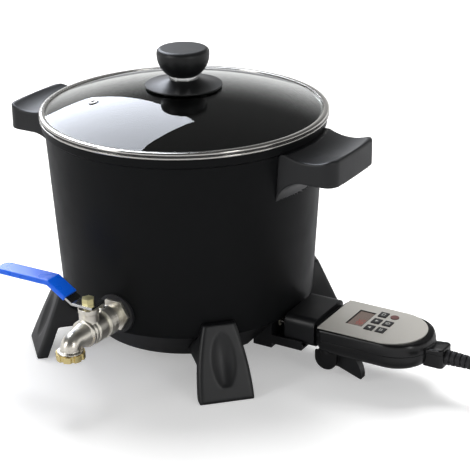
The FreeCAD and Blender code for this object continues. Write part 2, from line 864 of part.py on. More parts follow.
def foot(name, angle):
    """Splayed foot: an arm against the base ring, a flared toe and a scooped outer face."""
    body = new_body(name)
    run = d.foot_reach - d.foot_top_reach
    sketch = new_sketch(body)
    outline(sketch, [
        (d.foot_reach - d.foot_toe, 0),
        (d.foot_reach, 0),
        (d.foot_reach - d.foot_edge_inset, d.foot_edge_height),
        (d.foot_top_reach, d.foot_top_height),
        (d.heel_radius - d.heel_round, d.foot_top_height),
        (ring_radius(d.foot_arm_height) - 2 * d.foot_round, d.foot_arm_height),
        (d.foot_reach - d.foot_toe - run * d.foot_arm_height / d.foot_top_height, d.foot_arm_height),
    ])
    pad(body, sketch, 2 * d.foot_half_width, symmetric=True)
    sketch = new_sketch(body, "YZ_Plane")
    outer = d.foot_half_width + 5
    outline(sketch, [
        (d.foot_half_width, 0),
        (outer, 0),
        (outer, d.foot_top_height),
        (d.foot_top_half_width, d.foot_top_height, d.foot_flare_radius, 1),
    ])
    outline(sketch, [
        (-d.foot_half_width, 0, d.foot_flare_radius, 1),
        (-d.foot_top_half_width, d.foot_top_height),
        (-outer, d.foot_top_height),
        (-outer, 0),
    ])
    pocket(body, sketch, symmetric=True)
    sketch = new_sketch(body)
    inside = d.ring_bottom_radius - d.foot_half_width
    below, above = d.foot_arm_height - 2, d.foot_top_height + 2
    outline(sketch, [
        (inside, below),
        (ring_radius(below), below),
        (d.ring_top_radius, d.underside_height),
        (d.ring_top_radius + d.heel_round / 2, d.underside_height),
        (d.heel_radius + 0.9, d.underside_height + 0.75 * d.heel_round),
        (wall_radius(above) + d.foot_gap, above),
        (inside, above),
    ])
    groove(body, sketch, angle=90)
    round_edges(body, d.foot_round, lambda edge: on_foot_face(edge))
    sketch = new_sketch(body)
    slant = root(run * run + d.foot_top_height * d.foot_top_height)
    axis_x = (d.foot_reach - run * d.scoop_height / d.foot_top_height
              + d.scoop_end_radius * d.foot_top_height / slant)
    axis_z = d.scoop_height + d.scoop_end_radius * run / slant
    lean = math.degrees(math.atan2(float(run), float(d.foot_top_height)))
    sketch.AttachmentOffset = FreeCAD.Placement(
        FreeCAD.Vector(float(axis_x), float(axis_z), 0), about(0, 0, 1, lean))
    for path, value in (("Base.x", axis_x), ("Base.y", axis_z)):
        bind(sketch, "AttachmentOffset." + path, value)
    outline(sketch, [
        (-d.scoop_end_radius, -d.scoop_half_length),
        (0, -d.scoop_half_length),
        (0, d.scoop_half_length),
        (-d.scoop_end_radius, d.scoop_half_length, d.scoop_sweep_radius, -1),
    ])
    groove(body, sketch)
    sketch = new_sketch(body, "XY_Plane")
    circle(sketch, d.foot_screw_reach, 0, d.screw_radius + d.close_fit)
    pocket(body, sketch, symmetric=True)
    place(body, turn=about(0, 0, 1, angle))
    return finish(name, body)


def on_foot_face(edge):
    """True for the upright edges between a foot's outer face and its flanks."""
    point = middle_of(edge)
    box_ = edge.BoundBox
    outward = point.x > float(d.foot_top_reach) - 1
    flank = abs(point.y) > float(d.foot_top_half_width) - 1
    behind = point.x < float(d.foot_reach - d.foot_toe) + 1 and point.z < float(d.foot_arm_height) + 1
    return outward and flank and box_.ZLength > 5 and not behind


def foot_screws():
    """Screws that pull each foot up against the base ring."""
    screws = []
    for angle in FOOT_ANGLES.values():
        turn = Size(angle)
        x, y = d.foot_screw_reach * cosine(turn), d.foot_screw_reach * sine(turn)
        head = cylinder("foot_screw_head", d.screw_head_radius, d.screw_head_height)
        place(head, x, y, d.foot_arm_height - d.screw_head_height)
        shank = cylinder("foot_screw_shank", d.screw_radius, d.underside_height - d.foot_arm_height - 0.5)
        place(shank, x, y, d.foot_arm_height)
        screws.append(fused("foot_screw", [head, shank]))
    return finish("foot_screws", group("foot_screws", screws))


def handle(name, angle):
    """Side handle: a dished grip whose inner side and gusset follow the vessel's wall."""
    body = new_body(name)
    lip_start = d.rim_height - d.lip_depth
    outer = d.handle_reach + d.handle_corner / 2
    sketch = new_sketch(body)
    outline(sketch, [
        (wall_radius(gusset_bottom), gusset_bottom, d.gusset_radius, 1),
        (d.gusset_reach, handle_bottom),
        (outer, handle_bottom),
        (outer, handle_top),
        (d.handle_reach - d.dish_margin, handle_top, d.dish_radius, 1),
        (lip_radius + 2 * d.dish_margin, handle_top),
        (lip_radius, handle_top),
        (lip_radius, lip_start + d.lip_projection),
        (wall_radius(lip_start), lip_start),
    ])
    revolve(body, sketch, angle=60)
    sketch = new_sketch(body, "XY_Plane")
    inner = d.handle_half_width - d.handle_corner
    face_centre = d.handle_reach - d.handle_face_radius
    corner_reach = d.handle_face_radius - d.handle_corner
    corner_run = root(corner_reach * corner_reach - inner * inner)
    grown = d.handle_face_radius / corner_reach
    start, side = d.ring_bottom_radius, d.handle_half_width
    beyond, far = outer + d.handle_corner, 3 * d.handle_half_width
    outline(sketch, [
        (start, side),
        (face_centre + corner_run, side, d.handle_corner, 1),
        (face_centre + corner_run * grown, inner * grown, d.handle_face_radius, 1),
        (face_centre + corner_run * grown, -inner * grown, d.handle_corner, 1),
        (face_centre + corner_run, -side),
        (start, -side),
        (start, -far),
        (beyond, -far),
        (beyond, far),
        (start, far),
    ])
    pocket(body, sketch, symmetric=True)
    round_edges(body, d.handle_edge, on_handle_rim)
    sketch = new_sketch(body, "XY_Plane", handle_bottom)
    for side in (1, -1):
        circle(sketch, d.handle_screw_reach, d.handle_screw_offset * side, d.screw_radius + d.close_fit)
    pocket(body, sketch, d.handle_screw_depth + d.loose_fit, reverse=True)
    place(body, turn=about(0, 0, 1, angle))
    return finish(name, body)


def on_handle_rim(edge):
    """True for the edges round a handle's top, clear of the vessel's lip."""
    point = middle_of(edge)
    outer = math.hypot(point.x, point.y) > float(lip_radius) + 4
    return outer and edge.BoundBox.ZMin > float(handle_top - 2 * d.handle_dish)


def handle_screws():
    """Screws in the underside of both handles."""
    screws = []
    for direction in (1, -1):
        for side in (1, -1):
            x, y = d.handle_screw_reach * direction, d.handle_screw_offset * side
            head = cylinder("handle_screw_head", d.screw_head_radius, d.screw_head_height)
            place(head, x, y, handle_bottom - d.screw_head_height)
            shank = cylinder("handle_screw_shank", d.screw_radius, d.handle_screw_depth)
            place(shank, x, y, handle_bottom)
            screws.append(fused("handle_screw", [head, shank]))
    return finish("handle_screws", group("handle_screws", screws))


# ---------------------------------------------------------------- drain valve

def along_valve(name, radius, start, end):
    """A cylinder on the valve's axis between two distances from the vessel's axis."""
    solid = cylinder(name, radius, end - start)
    place(solid, 0, -start, d.valve_height, TO_MINUS_Y)
    return solid


def wall_cone(name, inset):
    """The vessel's wall surface near the valve, moved in by inset."""
    low, high = d.underside_height, 2 * d.valve_height - d.underside_height
    solid = cone(name, wall_radius(low) - inset, wall_radius(high) - inset, high - low)
    place(solid, z=low)
    return solid


def valve_gaskets():
    """Rubber gaskets on both sides of the vessel's wall."""
    hole = along_valve("gasket_hole", d.thread_radius + d.loose_fit, nut_start, hex_back)
    outer = along_valve("outer_gasket_disc", d.gasket_radius, wall_radius(d.valve_height) - d.gasket_bite, hex_back)
    outer = cut("outer_gasket", outer, [wall_cone("outer_wall", -d.close_fit), hole])
    disc = along_valve("inner_gasket_disc", d.inner_gasket_radius, nut_end, wall_radius(d.valve_height))
    inside = doc.addObject("Part::Common", "inner_gasket_blank")
    inside.Base = disc
    inside.Tool = wall_cone("inner_wall", d.wall + d.close_fit)
    inner = cut("inner_gasket", inside, [hole])
    return finish("valve_gaskets", group("valve_gaskets", [outer, inner]))


def valve_locknut():
    nut = hexagon("locknut", d.locknut_flats, nut_end - nut_start)
    place(nut, 0, -nut_start, d.valve_height, TO_MINUS_Y)
    bore = along_valve("locknut_bore", d.thread_radius + d.close_fit, nut_start, nut_end)
    return finish("valve_locknut", cut("valve_locknut", nut, [bore]))


def valve_tailpiece():
    """Threaded tube through the wall, with a hexagon outside and a neck into the valve body."""
    hex_length = hex_front - hex_back
    flats = hexagon("tail_hexagon", d.valve_across_flats, hex_length)
    place(flats, 0, -hex_back, d.valve_height, TO_MINUS_Y)
    thread = along_valve("tail_thread", d.thread_radius, nut_start - 1, hex_back)
    neck = along_valve("tail_neck", d.tail_neck_radius, hex_front, tail_end)
    solid = fused("tail_solid", [thread, flats, neck])
    bore = along_valve("tail_bore", d.tail_bore, nut_start - 1, tail_end)
    return finish("valve_tailpiece", cut("valve_tailpiece", solid, [bore]))


def elbow_parts(prefix, radius):
    """The outlet's tube, bend and spout for a radius."""
    bend_start = outlet_distance - d.outlet_bend
    tube = along_valve(prefix + "_tube", radius, stem_distance, bend_start)
    bend = doc.addObject("Part::Torus", prefix + "_bend")
    bind(bend, "Radius1", d.outlet_bend)
    bind(bend, "Radius2", sized(radius))
    bend.Angle3 = 90
    place(bend, 0, -bend_start, d.valve_height - d.outlet_bend, ELBOW_TURN)
    spout = cylinder(prefix + "_spout", radius, d.valve_height - d.outlet_bend - d.outlet_bottom)
    place(spout, 0, -outlet_distance, d.outlet_bottom)
    return [tube, bend, spout]


def valve_body():
    """Cast body: ridged barrel, ball chamber, ringed outlet elbow and stem tower."""
    solids = elbow_parts("outlet", d.outlet_radius)
    for radius, start, end in (
            (d.barrel_radius, valve_end, barrel_end),
            (d.waist_radius, barrel_end, chamber_start),
            (d.chamber_radius, chamber_start, chamber_end),
            (d.flange_radius, flange_distance - d.flange_thickness / 2, flange_distance - d.flange_gap),
            (d.flange_radius, flange_distance + d.flange_gap, flange_end),
            (d.flange_radius - d.flange_gap, chamber_end, flange_end)):
        solids.append(along_valve("valve_ring", radius, start, end))
    taper = cone("outlet_root", d.outlet_root_radius, d.outlet_radius, d.outlet_taper)
    place(taper, 0, -flange_end, d.valve_height, TO_MINUS_Y)
    collar_ring = cylinder("collar_ring", d.collar_ring_radius, d.collar_ring_height)
    place(collar_ring, 0, -outlet_distance, d.collar_bottom + d.collar_height)
    solids.extend([taper, collar_ring])
    tower = cylinder("tower", d.tower_radius, d.tower_top - d.valve_height)
    place(tower, 0, -stem_distance, d.valve_height)
    solids.append(tower)
    tools = elbow_parts("waterway", d.outlet_bore)
    tools[2] = cylinder("waterway_mouth", d.outlet_bore, d.valve_height - d.outlet_bend - d.outlet_bottom + 1)
    place(tools[2], 0, -outlet_distance, d.outlet_bottom - 1)
    tools.append(along_valve("tail_socket", d.tail_neck_radius + d.close_fit, valve_end - 1, tail_end))
    tools.append(along_valve("inlet_bore", d.bore_radius, tail_end - 1, stem_distance))
    tools.append(along_valve("seat_pockets", d.seat_outer_radius, stem_distance - d.seat_end,
                             stem_distance + d.seat_end))
    cavity = doc.addObject("Part::Sphere", "ball_cavity")
    bind(cavity, "Radius", d.ball_radius + d.ball_gap)
    place(cavity, 0, -stem_distance, d.valve_height)
    stem = cylinder("stem_bore", d.stem_radius + d.moving_gap, d.tower_top - d.valve_height + 1)
    place(stem, 0, -stem_distance, d.valve_height)
    gland = cylinder("gland_pocket", d.gland_radius, d.gland_depth + 1)
    place(gland, 0, -stem_distance, d.tower_top - d.gland_depth)
    tools.extend([cavity, stem, gland])
    return finish("valve_body", cut("valve_body", fused("valve_solid", solids), tools))


def seat_rings():
    """Two seats between the ball and the body's bore."""
    rings = []
    for side in (1, -1):
        near_end = stem_distance + d.seat_start * side
        far_end = stem_distance + d.seat_end * side
        low, high = (near_end, far_end) if side > 0 else (far_end, near_end)
        outer = along_valve("seat", d.seat_outer_radius, low, high)
        hole = along_valve("seat_hole", d.bore_radius, low, high)
        rings.append(cut("seat_ring", outer, [hole]))
    return finish("seat_rings", group("seat_rings", rings))


def gland_nut():
    nut = cylinder("gland", d.gland_radius, d.gland_depth)
    bore = cylinder("gland_bore", d.stem_radius + d.moving_gap, d.gland_depth)
    for solid in (nut, bore):
        place(solid, 0, -stem_distance, d.tower_top - d.gland_depth)
    return finish("gland_nut", cut("gland_nut", nut, [bore]))


def spout_collar():
    """Notched brass collar round the spout."""
    ring = cylinder("collar", d.collar_radius, d.collar_height)
    place(ring, 0, -outlet_distance, d.collar_bottom)
    tools = elbow_parts("collar_seat", d.outlet_radius)
    mouth = cylinder("collar_mouth", d.outlet_radius, d.outlet_bottom - d.collar_bottom)
    place(mouth, 0, -outlet_distance, d.collar_bottom)
    tools.append(mouth)
    count = int(d.collar_notches.number)
    for i in range(count):
        angle = Size(FULL_TURN * i / count)
        notch = cylinder("collar_notch", d.collar_notch, d.collar_height)
        place(notch, d.collar_radius * cosine(angle), d.collar_radius * sine(angle) - outlet_distance,
              d.collar_bottom)
        tools.append(notch)
    return finish("spout_collar", cut("spout_collar", ring, tools))


# ---------------------------------------------------------------- valve lever

lever_run = d.lever_bend_end - d.lever_bend_start
lever_slant = root(lever_run * lever_run + d.lever_rise * d.lever_rise)
bend_shift = (lever_slant - lever_run) / d.lever_rise


def lever_bends(rise):
    """The lever's two bends and its tip, on the plate's underside raised by rise."""
    shift = rise * bend_shift
    return [
        (shift - d.lever_bend_start, d.lever_height + rise),
        (shift - d.lever_bend_end, d.lever_height + d.lever_rise + rise),
    ]


def lever_tip(rise, grown):
    return (-d.lever_length - grown, d.lever_height + d.lever_rise - d.lever_fall + rise)


def valve_ball():
    """Ball with a cross bore, closed at rest, and a flat the stem stands on."""
    ball = doc.addObject("Part::Sphere", "ball")
    bind(ball, "Radius", d.ball_radius)
    place(ball, 0, -stem_distance, d.valve_height)
    bore = cylinder("ball_bore", d.bore_radius, 2 * d.ball_radius)
    place(bore, -d.ball_radius, -stem_distance, d.valve_height, TO_X)
    flat = box("ball_top", 2 * d.ball_radius, 2 * d.ball_radius, d.ball_radius)
    place(flat, -d.ball_radius, -stem_distance - d.ball_radius, d.valve_height + d.ball_flat)
    return finish("valve_ball", cut("valve_ball", ball, [bore, flat]))


def valve_stem():
    """Stem from the ball to the lever, with a shoulder under the lever."""
    bottom = d.valve_height + d.ball_flat
    stem = cylinder("stem", d.stem_radius, lever_top + d.lever_nut_height - bottom)
    place(stem, 0, -stem_distance, bottom)
    shoulder = cylinder("stem_shoulder", d.gland_radius, d.lever_height - d.tower_top - d.moving_gap)
    place(shoulder, 0, -stem_distance, d.tower_top + d.moving_gap)
    return finish("valve_stem", fused("valve_stem", [stem, shoulder]))


def valve_lever():
    """Cranked steel lever with a stop tab bent down beside the tower."""
    body = new_body("valve_lever")
    sketch = new_sketch(body)
    corners = [(d.lever_heel, d.lever_height), (d.lever_heel, lever_top)]
    corners += lever_bends(d.lever_thickness)
    corners += [lever_tip(d.lever_thickness, NONE), lever_tip(NONE, NONE)]
    corners += reversed(lever_bends(NONE))
    outline(sketch, corners)
    pad(body, sketch, d.lever_width, symmetric=True)
    round_edges(body, d.lever_corner, at_end(d.lever_length))
    stop_side = d.tower_radius + d.moving_gap + d.lever_thickness
    sketch = new_sketch(body, offset=-stop_side)
    rectangle(sketch, d.lever_heel - d.stop_width, d.lever_height, d.lever_heel, lever_top)
    pad(body, sketch, stop_side - d.lever_width / 2 + d.stop_overlap)
    sketch = new_sketch(body, offset=-stop_side)
    rectangle(sketch, d.lever_heel - d.stop_width, d.stop_bottom, d.lever_heel, lever_top)
    pad(body, sketch, d.lever_thickness)
    sketch = new_sketch(body, "XY_Plane")
    circle(sketch, 0, 0, d.stem_radius)
    pocket(body, sketch, symmetric=True)
    place(body, 0, -stem_distance, 0)
    return finish("valve_lever", body)


def at_end(length):
    """Chooses the upright edges at a lever's outer end."""
    return lambda edge: along("z", edge) and near(middle_of(edge).x, -length)


def lever_sleeve():
    """Soft sleeve over the outer part of the lever."""
    body = new_body("lever_sleeve")
    start = (d.sleeve_start - d.lever_bend_start) / lever_run
    base_x = -d.sleeve_start
    base_z = d.lever_height + d.lever_rise * start
    across_x, across_z = d.lever_rise / lever_slant, lever_run / lever_slant
    wall, top = d.sleeve_wall, d.lever_thickness + d.sleeve_wall
    sketch = new_sketch(body)
    outline(sketch, [
        (base_x - wall * across_x, base_z - wall * across_z),
        (base_x + top * across_x, base_z + top * across_z),
        lever_bends(top)[1],
        lever_tip(top, wall),
        lever_tip(-wall, wall),
        lever_bends(-wall)[1],
    ])
    pad(body, sketch, d.lever_width + 2 * wall, symmetric=True)
    sketch = new_sketch(body)
    outline(sketch, [
        lever_bends(NONE)[0],
        lever_bends(d.lever_thickness)[0],
        lever_bends(d.lever_thickness)[1],
        lever_tip(d.lever_thickness, NONE),
        lever_tip(NONE, NONE),
        lever_bends(NONE)[1],
    ])
    pocket(body, sketch, d.lever_width, symmetric=True)
    round_edges(body, d.lever_corner, at_end(d.lever_length))
    round_edges(body, d.lever_corner + wall, at_end(d.lever_length + wall))
    round_edges(body, wall * 0.8, on_sleeve_edge)
    place(body, 0, -stem_distance, 0)
    return finish("lever_sleeve", body)


def on_sleeve_edge(edge):
    """True for the sleeve's long edges."""
    outside = near(abs(middle_of(edge).y), d.lever_width / 2 + d.sleeve_wall)
    return outside and edge.Length > float(d.lever_width)


def lever_nut():
    nut = hexagon("stem_nut", d.lever_nut_flats, d.lever_nut_height)
    bore = cylinder("stem_nut_bore", d.stem_radius, d.lever_nut_height)
    for solid in (nut, bore):
        place(solid, 0, -stem_distance, lever_top)
    return finish("lever_nut", cut("lever_nut", nut, [bore]))


# ---------------------------------------------------------------- lid and knob

dome_radius = (d.band_inner_radius * d.band_inner_radius + d.dome_rise * d.dome_rise) / (2 * d.dome_rise)
glass_bottom = band_bottom + d.band_thickness
glass_top = glass_bottom + d.glass_thickness
screw_hole = d.knob_screw_radius + d.close_fit


def dome_height(distance, top=True):
    """Height of the glass's top or bottom face at a distance from its axis."""
    apex = (glass_top if top else glass_bottom) + d.dome_rise
    return apex - dome_radius + root(dome_radius * dome_radius - sized(distance) * sized(distance))


plate_top = glass_top + d.dome_rise + d.knob_plate_rise
washer_bottom = glass_bottom + d.dome_rise - d.washer_thickness


def lid_band():
    """Rolled steel band: a channel round the glass with a lip that centres the lid in the rim."""
    body = new_body("lid_band")
    inside = d.band_radius - d.band_thickness
    lip_inside = d.locating_radius - d.band_thickness
    sketch = new_sketch(body)
    outline(sketch, [
        (lip_inside, band_bottom - d.locating_depth),
        (d.locating_radius, band_bottom - d.locating_depth),
        (d.locating_radius, band_bottom),
        (d.band_radius, band_bottom),
        (d.band_radius, band_top),
        (d.band_inner_radius, band_top),
        (d.band_inner_radius, glass_top),
        (inside, glass_top),
        (inside, glass_bottom),
        (lip_inside, glass_bottom),
    ])
    revolve(body, sketch)
    round_edges(body, d.band_thickness * 0.7, on_band_outside)
    place(body)
    return finish("lid_band", body)


def on_band_outside(edge):
    """True for the band's two outer circles."""
    return edge.Curve.TypeId == "Part::GeomCircle" and near(edge.Curve.Radius, d.band_radius)


def lid_glass():
    """Domed glass with a flat rim, a centre hole and a vent hole."""
    body = new_body("lid_glass")
    sketch = new_sketch(body)
    outer = d.band_radius - d.band_thickness
    outline(sketch, [
        (0, glass_bottom + d.dome_rise, dome_radius, 1),
        (d.band_inner_radius, glass_bottom),
        (outer, glass_bottom),
        (outer, glass_top),
        (d.band_inner_radius, glass_top, dome_radius, -1),
        (0, glass_top + d.dome_rise),
    ])
    revolve(body, sketch)
    sketch = new_sketch(body, "XY_Plane")
    circle(sketch, 0, 0, screw_hole)
    circle(sketch, vent_x, vent_y, d.vent_barrel + d.vent_slack)
    pocket(body, sketch, symmetric=True)
    place(body)
    return finish("lid_glass", body)


def vent_eyelet():
    """Steel eyelet that lets steam out of the lid, square to the glass."""
    tilt = math.degrees(math.asin(float(d.vent_distance) / float(dome_radius)))
    lean = about(-math.sin(math.radians(float(d.vent_angle))), math.cos(math.radians(float(d.vent_angle))), 0, tilt)
    length = d.glass_thickness + d.vent_flange
    flange = cylinder("vent_flange", d.vent_radius, d.vent_flange)
    place(flange, vent_x, vent_y, dome_height(d.vent_distance), lean)
    barrel = cylinder("vent_barrel", d.vent_barrel, length)
    hole = cylinder("vent_bore", d.vent_hole, length)
    down = lean.multVec(FreeCAD.Vector(0, 0, -float(d.glass_thickness)))
    for solid in (barrel, hole):
        place(solid, vent_x + down.x, vent_y + down.y, dome_height(d.vent_distance) + down.z, lean)
    return finish("vent_eyelet", cut("vent_eyelet", fused("vent_solid", [flange, barrel]), [hole]))


def knob_plate():
    """Flared base of the knob, standing on the glass."""
    body = new_body("knob_plate")
    rim_bottom = dome_height(d.knob_plate_radius) + d.knob_plate_gap
    rim_top = rim_bottom + d.knob_plate_height
    inner_rim = d.knob_plate_radius - d.knob_plate_edge
    sketch = new_sketch(body)
    outline(sketch, [
        (screw_hole, dome_height(screw_hole), dome_radius, 1),
        (d.neck_radius, dome_height(d.neck_radius)),
        (d.neck_radius, plate_top - d.knob_plate_height, d.knob_plate_curve, -1),
        (inner_rim, rim_bottom),
        (d.knob_plate_radius, rim_bottom),
        (d.knob_plate_radius, rim_top, d.knob_plate_curve, 1),
        (d.neck_radius, plate_top),
        (screw_hole, plate_top),
    ])
    revolve(body, sketch)
    place(body)
    return finish("knob_plate", body)


def knob_neck():
    ring = cylinder("neck", d.neck_radius, d.neck_height)
    hole = cylinder("neck_hole", screw_hole, d.neck_height)
    for solid in (ring, hole):
        place(solid, z=plate_top)
    return finish("knob_neck", cut("knob_neck", ring, [hole]))


def lid_knob():
    """Bowl-shaped knob with a blind hole for its screw."""
    body = new_body("lid_knob")
    bottom = plate_top + d.neck_height
    top = bottom + d.knob_height
    hole_top = bottom + d.knob_height / 2
    sketch = new_sketch(body)
    outline(sketch, [
        (0, hole_top),
        (screw_hole, hole_top),
        (screw_hole, bottom),
        (d.knob_waist, bottom, d.knob_flare, -1),
        (d.knob_radius, top - d.knob_rim),
        (d.knob_radius, top - d.knob_round, d.knob_round, -1),
        (d.knob_radius - d.knob_round, top),
        (0, top),
    ])
    revolve(body, sketch)
    place(body)
    return finish("lid_knob", body)


def knob_washer():
    """Washer under the glass, ground to the dome."""
    body = new_body("knob_washer")
    sketch = new_sketch(body)
    outline(sketch, [
        (screw_hole, washer_bottom),
        (d.knob_washer_radius, washer_bottom),
        (d.knob_washer_radius, dome_height(d.knob_washer_radius, top=False), dome_radius, -1),
        (screw_hole, dome_height(screw_hole, top=False)),
    ])
    revolve(body, sketch)
    place(body)
    return finish("knob_washer", body)


def knob_screw():
    head = cylinder("knob_screw_head", 2 * d.knob_screw_radius, d.knob_screw_radius)
    place(head, z=washer_bottom - d.knob_screw_radius)
    length = plate_top + d.neck_height + d.knob_height / 2 - washer_bottom - d.loose_fit
    shank = cylinder("knob_screw_shank", d.knob_screw_radius, length)
    place(shank, z=washer_bottom)
    return finish("knob_screw", fused("knob_screw", [head, shank]))


# ---------------------------------------------------------------- controller

def case_outline(sketch, half, start, nose_start=d.case_nose_start):
    """The case's plan: straight sides half its width out, and a half-round nose."""
    outline(sketch, [
        (start, -half),
        (nose_start, -half, half, -1),
        (nose_start + half, 0, half, -1),
        (nose_start, half),
        (start, half),
    ])


def key_places():
    """The name and centre of each key; the power key is the only round one."""
    names = (("set_key", "down_key", "up_key"), ("power_key", "timer_key", "mode_key"))
    places = {}
    for column, members in enumerate(names):
        for row, name in enumerate(members):
            places[name] = (d.key_column_start + d.key_column_spacing * column,
                            d.key_row_centre + d.key_row_spacing * (1 - row))
    return places


def face_openings(sketch, grown, ledge):
    """Openings for the window and the keys."""
    rectangle(sketch, d.window_start + ledge, d.window_centre - d.window_half_width + ledge,
              d.window_start + d.window_length - ledge, d.window_centre + d.window_half_width - ledge)
    for name, (x, y) in key_places().items():
        if name == "power_key":
            circle(sketch, x, y, d.power_key_radius + grown)
            continue
        length, width = d.key_length / 2 + grown, d.key_width / 2 + grown
        rectangle(sketch, x - length, y - width, x + length, y + width)


def shell_posts():
    """The plan positions of the case's four screws."""
    return [(d.rear_post_x, d.rear_post_y), (d.rear_post_x, -d.rear_post_y),
            (d.front_post_x, d.front_post_y), (d.front_post_x, -d.front_post_y)]


def cord_gland(body, level, height, end_level):
    """The square end of the case where the lead comes out."""
    sketch = new_sketch(body, "XY_Plane", level)
    rectangle(sketch, d.gland_start, -d.gland_half_width, d.gland_end, d.gland_half_width)
    pad(body, sketch, height)
    beyond = d.case_nose_start + d.case_half_width
    round_edges(body, d.gland_corner, lambda edge: near(middle_of(edge).x, d.gland_end) and along("z", edge))
    flat = flat_at("z", end_level)
    round_edges(body, d.gland_round, lambda edge: flat(edge) and middle_of(edge).x > float(beyond))


def controller_upper_shell():
    body = new_body("controller_upper_shell")
    sketch = new_sketch(body, "XY_Plane", d.case_seam)
    case_outline(sketch, d.case_half_width, d.case_start)
    pad(body, sketch, d.case_top - d.case_seam)
    round_edges(body, d.case_corner, lambda edge: along("z", edge) and near(middle_of(edge).x, d.case_start))
    round_edges(body, d.case_top_round, flat_at("z", d.case_top))
    ceiling = d.case_top - d.case_wall
    sketch = new_sketch(body, "XY_Plane", d.case_seam)
    case_outline(sketch, d.case_half_width - d.case_wall, d.case_start + d.case_wall)
    pocket(body, sketch, ceiling - d.case_seam, reverse=True)
    cord_gland(body, d.case_seam, d.gland_top - d.case_seam, d.gland_top)
    for radius, bottom in ((d.post_radius, board_top), (d.post_pin_radius, d.case_seam)):
        sketch = new_sketch(body, "XY_Plane", bottom)
        for x, y in shell_posts():
            circle(sketch, x, y, radius)
        pad(body, sketch, ceiling - bottom + 0.5)
    sketch = new_sketch(body, "XY_Plane", ceiling - 0.5)
    face_openings(sketch, d.key_gap, d.window_ledge)
    pocket(body, sketch, d.case_wall + 1, reverse=True)
    sketch = new_sketch(body, "XY_Plane", d.case_seam)
    for x, y in shell_posts():
        circle(sketch, x, y, d.screw_radius)
    pocket(body, sketch, d.post_screw_top - d.case_seam, reverse=True)
    place(body)
    return finish("controller_upper_shell", body)


def controller_lower_shell():
    """Lower half of the case, with the two ears that carry the release lever."""
    body = new_body("controller_lower_shell")
    sketch = new_sketch(body, "XY_Plane", d.case_bottom)
    case_outline(sketch, d.case_half_width, d.case_start)
    pad(body, sketch, d.case_seam - d.case_bottom)
    round_edges(body, d.case_corner, lambda edge: along("z", edge) and near(middle_of(edge).x, d.case_start))
    round_edges(body, d.case_belly_round, flat_at("z", d.case_bottom))
    floor = d.case_bottom + d.case_wall
    inner_round = d.case_belly_round - d.case_wall
    sketch = new_sketch(body, "XY_Plane", d.case_seam)
    case_outline(sketch, d.case_half_width - d.case_wall, d.case_start + d.case_wall)
    pocket(body, sketch, d.case_seam - floor - inner_round)
    sketch = new_sketch(body, "XY_Plane", floor + inner_round)
    case_outline(sketch, d.case_half_width - d.case_belly_round, d.case_start + d.case_belly_round)
    pocket(body, sketch, inner_round)
    cord_gland(body, d.gland_bottom, d.case_seam - d.gland_bottom, d.gland_bottom)
    sketch = new_sketch(body, "XY_Plane", floor)
    for x, y in shell_posts():
        circle(sketch, x, y, d.post_radius)
    pad(body, sketch, d.case_seam - floor)
    sketch = new_sketch(body, "XY_Plane", d.case_bottom)
    for x, y in shell_posts():
        circle(sketch, x, y, d.screw_head_radius)
    pocket(body, sketch, d.screw_head_top - d.case_bottom, reverse=True)
    sketch = new_sketch(body, "XY_Plane", d.case_bottom)
    for x, y in shell_posts():
        circle(sketch, x, y, d.screw_radius)
    pocket(body, sketch, reverse=True)
    sketch = new_sketch(body, offset=release_side + d.moving_gap)
    rectangle(sketch, d.case_start - 5, d.case_bottom - 1, d.release_slot_end, d.release_slot_top)
    pocket(body, sketch, d.release_width + 2 * d.moving_gap, reverse=REVERSE_SLOT)
    for offset in (ear_near, ear_far):
        sketch = new_sketch(body, offset=offset)
        outline(sketch, [
            (d.release_pivot + d.ear_radius, d.release_height),
            (d.release_pivot + d.ear_radius, floor),
            (d.case_start, floor),
            (d.case_start, d.case_bottom),
            (d.release_pivot - d.ear_radius, d.case_bottom - 0.4),
            (d.release_pivot - d.ear_radius, d.release_height, d.ear_radius, -1),
            (d.release_pivot, d.release_height - d.ear_radius, d.ear_radius, -1),
        ])
        pad(body, sketch, d.ear_thickness)
    sketch = new_sketch(body)
    circle(sketch, d.release_pivot, d.release_height, d.release_pin_radius)
    pocket(body, sketch, ear_near + d.ear_thickness - d.pin_cover, reverse=True)
    place(body)
    return finish("controller_lower_shell", body)


def probe_shroud():
    """Socket that slides over the inlet's terminals, joined to the case by a short neck."""
    body = new_body("probe_shroud")
    sketch = new_sketch(body, "YZ_Plane", d.shroud_start)
    half = d.shroud_half_width
    rectangle(sketch, -half, shroud_bottom, half, d.shroud_top)
    pad(body, sketch, d.shroud_end - d.shroud_start)
    round_edges(body, d.shroud_round, lambda edge: along("x", edge))
    sketch = new_sketch(body, "YZ_Plane", d.shroud_start)
    inner = half - d.shroud_wall
    rectangle(sketch, -inner, shroud_bottom + d.shroud_wall, inner, d.shroud_top - d.shroud_wall)
    pocket(body, sketch, shroud_floor - d.shroud_start, reverse=True)
    round_edges(body, d.shroud_round - d.shroud_wall, on_socket_corner)
    sketch = new_sketch(body, "YZ_Plane", d.shroud_end)
    neck = d.neck_inset
    rectangle(sketch, neck - half, shroud_bottom + neck, half - neck, d.case_top - 2)
    pad(body, sketch, d.case_start - d.shroud_end)
    place(body)
    return finish("probe_shroud", body)


def on_socket_corner(edge):
    """True for the four inner corners of the socket."""
    point = middle_of(edge)
    return along("x", edge) and near(abs(point.y), d.shroud_half_width - d.shroud_wall)


def face_plate():
    """Brushed metal plate on top of the case."""
    body = new_body("face_plate")
    sketch = new_sketch(body, "XY_Plane", d.case_top)
    case_outline(sketch, d.plate_half_width, d.plate_start, d.plate_nose_start)
    pad(body, sketch, d.plate_thickness)
    sketch = new_sketch(body, "XY_Plane", d.case_top)
    face_openings(sketch, d.key_gap, NONE)
    pocket(body, sketch, symmetric=True)
    place(body)
    return finish("face_plate", body)


